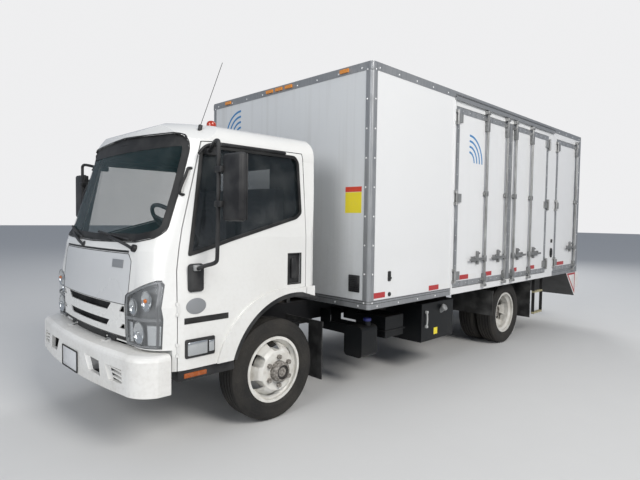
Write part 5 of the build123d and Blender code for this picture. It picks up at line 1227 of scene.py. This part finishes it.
def makeTape():
    print("reflective tape")
    kerbRed, whiteLong = tapeShape["kerbRed"], tapeShape["white"]

    def film(rear, front, low, high, z):
        half = tapeShape["half"]
        return block((rear, low, z - half), (front, high, z + half), tapeShape["edge"], 1)

    for body, reds in tapeRows.items():
        face = boxSide - (0.003 if body == "chassis" else 0.004)
        red = []
        white = []  # follows behind each red length
        for front, rear, z in reds:
            rear, front = frontX + rear, frontX + front
            red.append(film(rear, front, face - 0.0002, face + 0.0007, z))
            white.append(film(rear - whiteLong, rear, face - 0.0002, face + 0.0007, z))
        done(body + "RedTape", red, body, "redTape")
        done(body + "WhiteTape", white, body, "whiteTape")
    red = []
    white = []
    low, high = -boxSide + 0.0023, -boxSide + 0.0032
    for x in (boxFront - 0.12 - step * tapeShape["kerbStep"] for step in range(8)):
        if not -2.0 < x - frontX < -0.9:  # the kerb door is there
            red.append(film(x - kerbRed, x, low, high, tapeShape["kerbZ"]))
            white.append(film(x - kerbRed - whiteLong, x - kerbRed, low, high, tapeShape["kerbZ"]))
    done("kerbRedTape", red, "chassis", "redTape")
    done("kerbWhiteTape", white, "chassis", "whiteTape")
    for name, (low, high) in (("rear_door_left", (0.08, 1.08)), ("rear_door_right", (-1.08, -0.08))):
        band = block((boxRear + 0.0038, low, 1.0), (boxRear + 0.0047, high, 1.05), tapeShape["edge"], 1)
        done(name + "Tape", band, name, "redTape")


makeTape()


def arcs(centre, radii, facing, level):
    # quarter rings of flat film, each an outline of two arcs
    bands = []
    for radius in radii:
        corners = []
        for reach, steps in ((radius, range(13)), (radius - 0.022, range(12, -1, -1))):
            for angle in (math.radians(90 * step / 12) for step in steps):
                corners.append((centre[0] - reach * math.cos(angle), centre[1] + reach * math.sin(angle)))
        bands.append(thicken(outline(corners, facing, level), 0.0008))
    return bands


motifs = {  # the rings' centre, outer radii, plane and level, and the body and slot of each
    "doorMotif": ((frontX - 2.46, 2.23), (0.30, 0.24, 0.18, 0.12), "y", boxSide - 0.0038,
                  "side_door_front", "door_frame"),
    "wallMotif": ((-0.66, 2.50), (0.29, 0.23, 0.17, 0.11), "x", boxFront - 0.0028, "chassis", "box_white"),
}
notices = {"wallNoticeYellow": (1.65, 1.832, "yellowVinyl"), "wallNoticeRed": (1.835, 1.88, "redVinyl")}


def makeMotifs():
    print("blue quarter rings and notice")
    for name, (centre, radii, plane, level, body, slot) in motifs.items():
        done(name, arcs(centre, radii, plane, level), body, "blueVinyl")
    for name, (low, high, finish) in notices.items():
        patch = block((boxFront - 0.0032, 0.93, low), (boxFront - 0.0022, 1.12, high), 0.0003, 1)
        done(name, patch, "chassis", finish)


makeMotifs()


fittingShape = {"slats": 8, "slatStep": 0.0165, "latchX": frontX - 1.076, "lockX": frontX - 4.865,
                "lockZ": 1.156, "capRadius": 0.022, "seams": 12, "seamStep": 0.42}


def makeBoxFittings():
    print("vent, latches, caps and roof seams")
    wallFace = boxFront - 0.003
    vent = block((wallFace - 0.004, 0.99, 0.955), (wallFace + 0.012, 1.115, 1.105), 0.006, 3)
    slat = block((wallFace + 0.008, 1.0, 0.968), (wallFace + 0.018, 1.105, 0.976), 0.002)
    slats = repeat(slat, fittingShape["slats"], (0, 0, fittingShape["slatStep"]))
    done("wallVent", [vent, slats], "chassis", "plastic")
    face = boxSide - 0.003
    x, postX, postZ = (fittingShape[key] for key in ("latchX", "lockX", "lockZ"))
    fittings = [block((x - 0.02, face - 0.004, 1.045), (x + 0.02, face + 0.012, 1.135), 0.009, 3),
                disc((x, face + 0.016, 1.075), 0.013, 0.016, (0, 1, 0), 20, 0.004),
                disc((x - 0.005, face + 0.004, 0.927), 0.019, 0.014, (0, 1, 0), 24, 0.004),
                stretchUp(disc((postX, face + 0.008, postZ), 0.034, 0.022, (0, 1, 0), 28, 0.006), postZ, 2.0),
                block((postX - 0.012, face - 0.003, 1.30), (postX + 0.012, face + 0.02, 1.35), 0.005, 3)]
    done("sideFittings", fittings, "chassis", "plastic")
    caps = [block((boxFront - 0.088, low, boxTop - 0.088), (boxFront + 0.0012, high, boxTop),
                  fittingShape["capRadius"], 4) for low, high in ((1.135, 1.2215), (-1.2215, -1.135))]
    done("cornerCaps", caps, "chassis", "rail")
    edge = block((frontX - 2.136, face - 0.004, boxBottom), (frontX - 2.122, boxSide + 0.010, boxTop - 0.095))
    seams = []
    for step in range(fittingShape["seams"]):
        x = boxFront - 0.25 - fittingShape["seamStep"] * step
        seams.append(block((x - 0.012, -1.15, boxTop - 0.0035), (x + 0.012, 1.15, boxTop - 0.0015), 0.001, 1))
    done("sectionEdge", edge, "chassis", "boxPaint")
    done("roofSeams", seams, "chassis", "boxPaint")


makeBoxFittings()


underShape = {"capAt": (frontX - 1.11, 0.945, 0.652), "capRadius": 0.038, "sightX": frontX - 1.865,
              "sight": (0.50, 0.65), "sightRadius": 0.009, "fillerX": frontX - 2.16, "boltRadius": 0.008,
              "bolts": ((frontX, 0.44), (rearX, 0.55)), "boltAcross": (0.372, 0.458)}


def makeUnderBody():
    print("tank fittings and axle bolts")
    cap = disc(underShape["capAt"], underShape["capRadius"], 0.030, (0, 0, 1), 24, 0.006)
    done("tankCap", cap, "chassis", "blueCap")
    x, face = underShape["sightX"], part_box("hydraulic_tank")[1].y
    low, high = underShape["sight"]
    sight = [tube([(x, face + 0.006, low), (x, face + 0.020, low + 0.015), (x, face + 0.020, high - 0.015),
                   (x, face + 0.006, high)], underShape["sightRadius"])]
    sight += [block((x - 0.014, face - 0.002, z - 0.014), (x + 0.014, face + 0.026, z + 0.014), 0.005, 3)
              for z in (low, high)]
    done("sightTube", sight, "chassis", "sightTube")
    x = underShape["fillerX"]
    filler = [disc((x, face - 0.004, 0.640), 0.030, 0.09, (0, 0.8, 0.6), 28, 0.004),
              disc((x, face + 0.036, 0.670), 0.037, 0.028, (0, 0.8, 0.6), 28, 0.007)]
    done("tankFiller", filler, "chassis", "zinc")
    label = block((x + 0.07, face - 0.001, 0.395), (x + 0.14, face + 0.0008, 0.465), 0.0004, 1)
    done("tankLabel", label, "chassis", "yellowVinyl")
    bolts = []
    for axleX, top in underShape["bolts"]:
        for y in (side * across for side in (1, -1) for across in underShape["boltAcross"]):
            for x in (axleX - 0.045, axleX + 0.045):
                bolts.append(tube([(x, y, top - 0.20), (x, y, top + 0.02)], underShape["boltRadius"], 2, 2))
    done("springBolts", bolts, "chassis", "castIron")


makeUnderBody()


apronTape = {"corners": [(frontX - 5.60, 0.800), (boxRear + 0.012, 0.800), (boxRear + 0.012, 0.462)],
             "face": boxSide - 0.0144, "width": 0.028}


def makeApronTape():
    print("apron tape")
    bands = [thicken(ring(apronTape["corners"], "y", side * apronTape["face"], apronTape["width"], 0), 0.001)
             for side in (1, -1)]
    done("apronTape", bands, "chassis", "redTape")


makeApronTape()


# Floor, light and camera

stage = {"floorTone": (0.62, 0.62, 0.61), "skyTone": 0.86, "cameraAt": (frontX + 2.465, 3.902, 1.594),
         "yaw": -134.76, "pitch": -2.46, "roll": 0.82, "focalPixels": 492.4, "pictureWidth": 640}


def makeFloor():
    print("floor")
    letGo()
    bpy.ops.mesh.primitive_grid_add(x_subdivisions=12, y_subdivisions=12, size=160)
    floor = bpy.context.object
    floor.name = "studioFloor"
    f = Finish("studioFloor")
    seen = f.add("ShaderNodeLightPath", output="Is Camera Ray")
    tone = f.blend(f.clouds(3, 6, 0.3, 0.8) * 0.08, stage["floorTone"], (0.5, 0.5, 0.49))
    f.wear(Colour=tone, Roughness=seen * 0.1 + 0.8)
    floor.data.materials.append(f.material)


def makeWorld():
    print("world")
    world = bpy.data.worlds.new("studio")
    bpy.context.scene.world = world
    world.use_nodes = True
    tree = world.node_tree
    path = tree.nodes.new("ShaderNodeLightPath")
    lit = tree.nodes["Background"]
    lit.inputs["Color"].default_value = (0.80, 0.87, 1.0, 1)
    lit.inputs["Strength"].default_value = 0.42
    shown = tree.nodes.new("ShaderNodeBackground")
    shown.inputs["Color"].default_value = (stage["skyTone"], stage["skyTone"], stage["skyTone"] * 1.01, 1)
    choose = tree.nodes.new("ShaderNodeMixShader")
    tree.links.new(path.outputs["Is Camera Ray"], choose.inputs[0])
    tree.links.new(lit.outputs[0], choose.inputs[1])
    tree.links.new(shown.outputs[0], choose.inputs[2])
    tree.links.new(choose.outputs[0], tree.nodes["World Output"].inputs["Surface"])


def softLamp(name, where, aim, size, power, colour):
    bpy.ops.object.light_add(type="AREA", location=where)
    lamp = bpy.context.object
    lamp.name = name
    lamp.data.size = size
    lamp.data.energy = power
    lamp.data.color = colour
    lamp.rotation_euler = (Vector(aim) - Vector(where)).to_track_quat("-Z", "Y").to_euler()


lamps = {  # where each stands, what it looks at, size, power and colour
    "keyLamp": ((3.0, 11.0, 8.5), (0, 0.6, 1.2), 5.0, 1180, (1.0, 0.97, 0.93)),
    "frontLamp": ((12.0, 3.0, 6.0), (2.5, 0, 1.3), 5.0, 470, (1, 1, 1)),
    "backLamp": ((-11.0, -7.0, 8.0), (0, 0, 1.5), 6.0, 800, (1, 1, 1)),
}


def makeLights():
    print("lamps")
    for name, values in lamps.items():
        softLamp(name, *values)


def makeCamera():
    print("camera")
    bpy.ops.object.camera_add(location=stage["cameraAt"])
    camera = bpy.context.object
    yaw, pitch, roll = (math.radians(stage[key]) for key in ("yaw", "pitch", "roll"))
    ahead = Vector((math.cos(yaw) * math.cos(pitch), math.sin(yaw) * math.cos(pitch), math.sin(pitch)))
    right = ahead.cross(Vector((0, 0, 1))).normalized()
    up = right.cross(ahead)
    rightRolled = right * math.cos(roll) + up * math.sin(roll)
    upRolled = up * math.cos(roll) - right * math.sin(roll)
    camera.rotation_euler = Matrix((rightRolled, upRolled, -ahead)).transposed().to_euler()
    camera.data.sensor_width = 36
    camera.data.lens = 36 * stage["focalPixels"] / stage["pictureWidth"]
    camera.data.clip_end = 300
    bpy.context.scene.camera = camera


makeFloor()
makeWorld()
makeLights()
makeCamera()
bpy.context.scene.view_settings.view_transform = "Standard"

print("pieces ready")
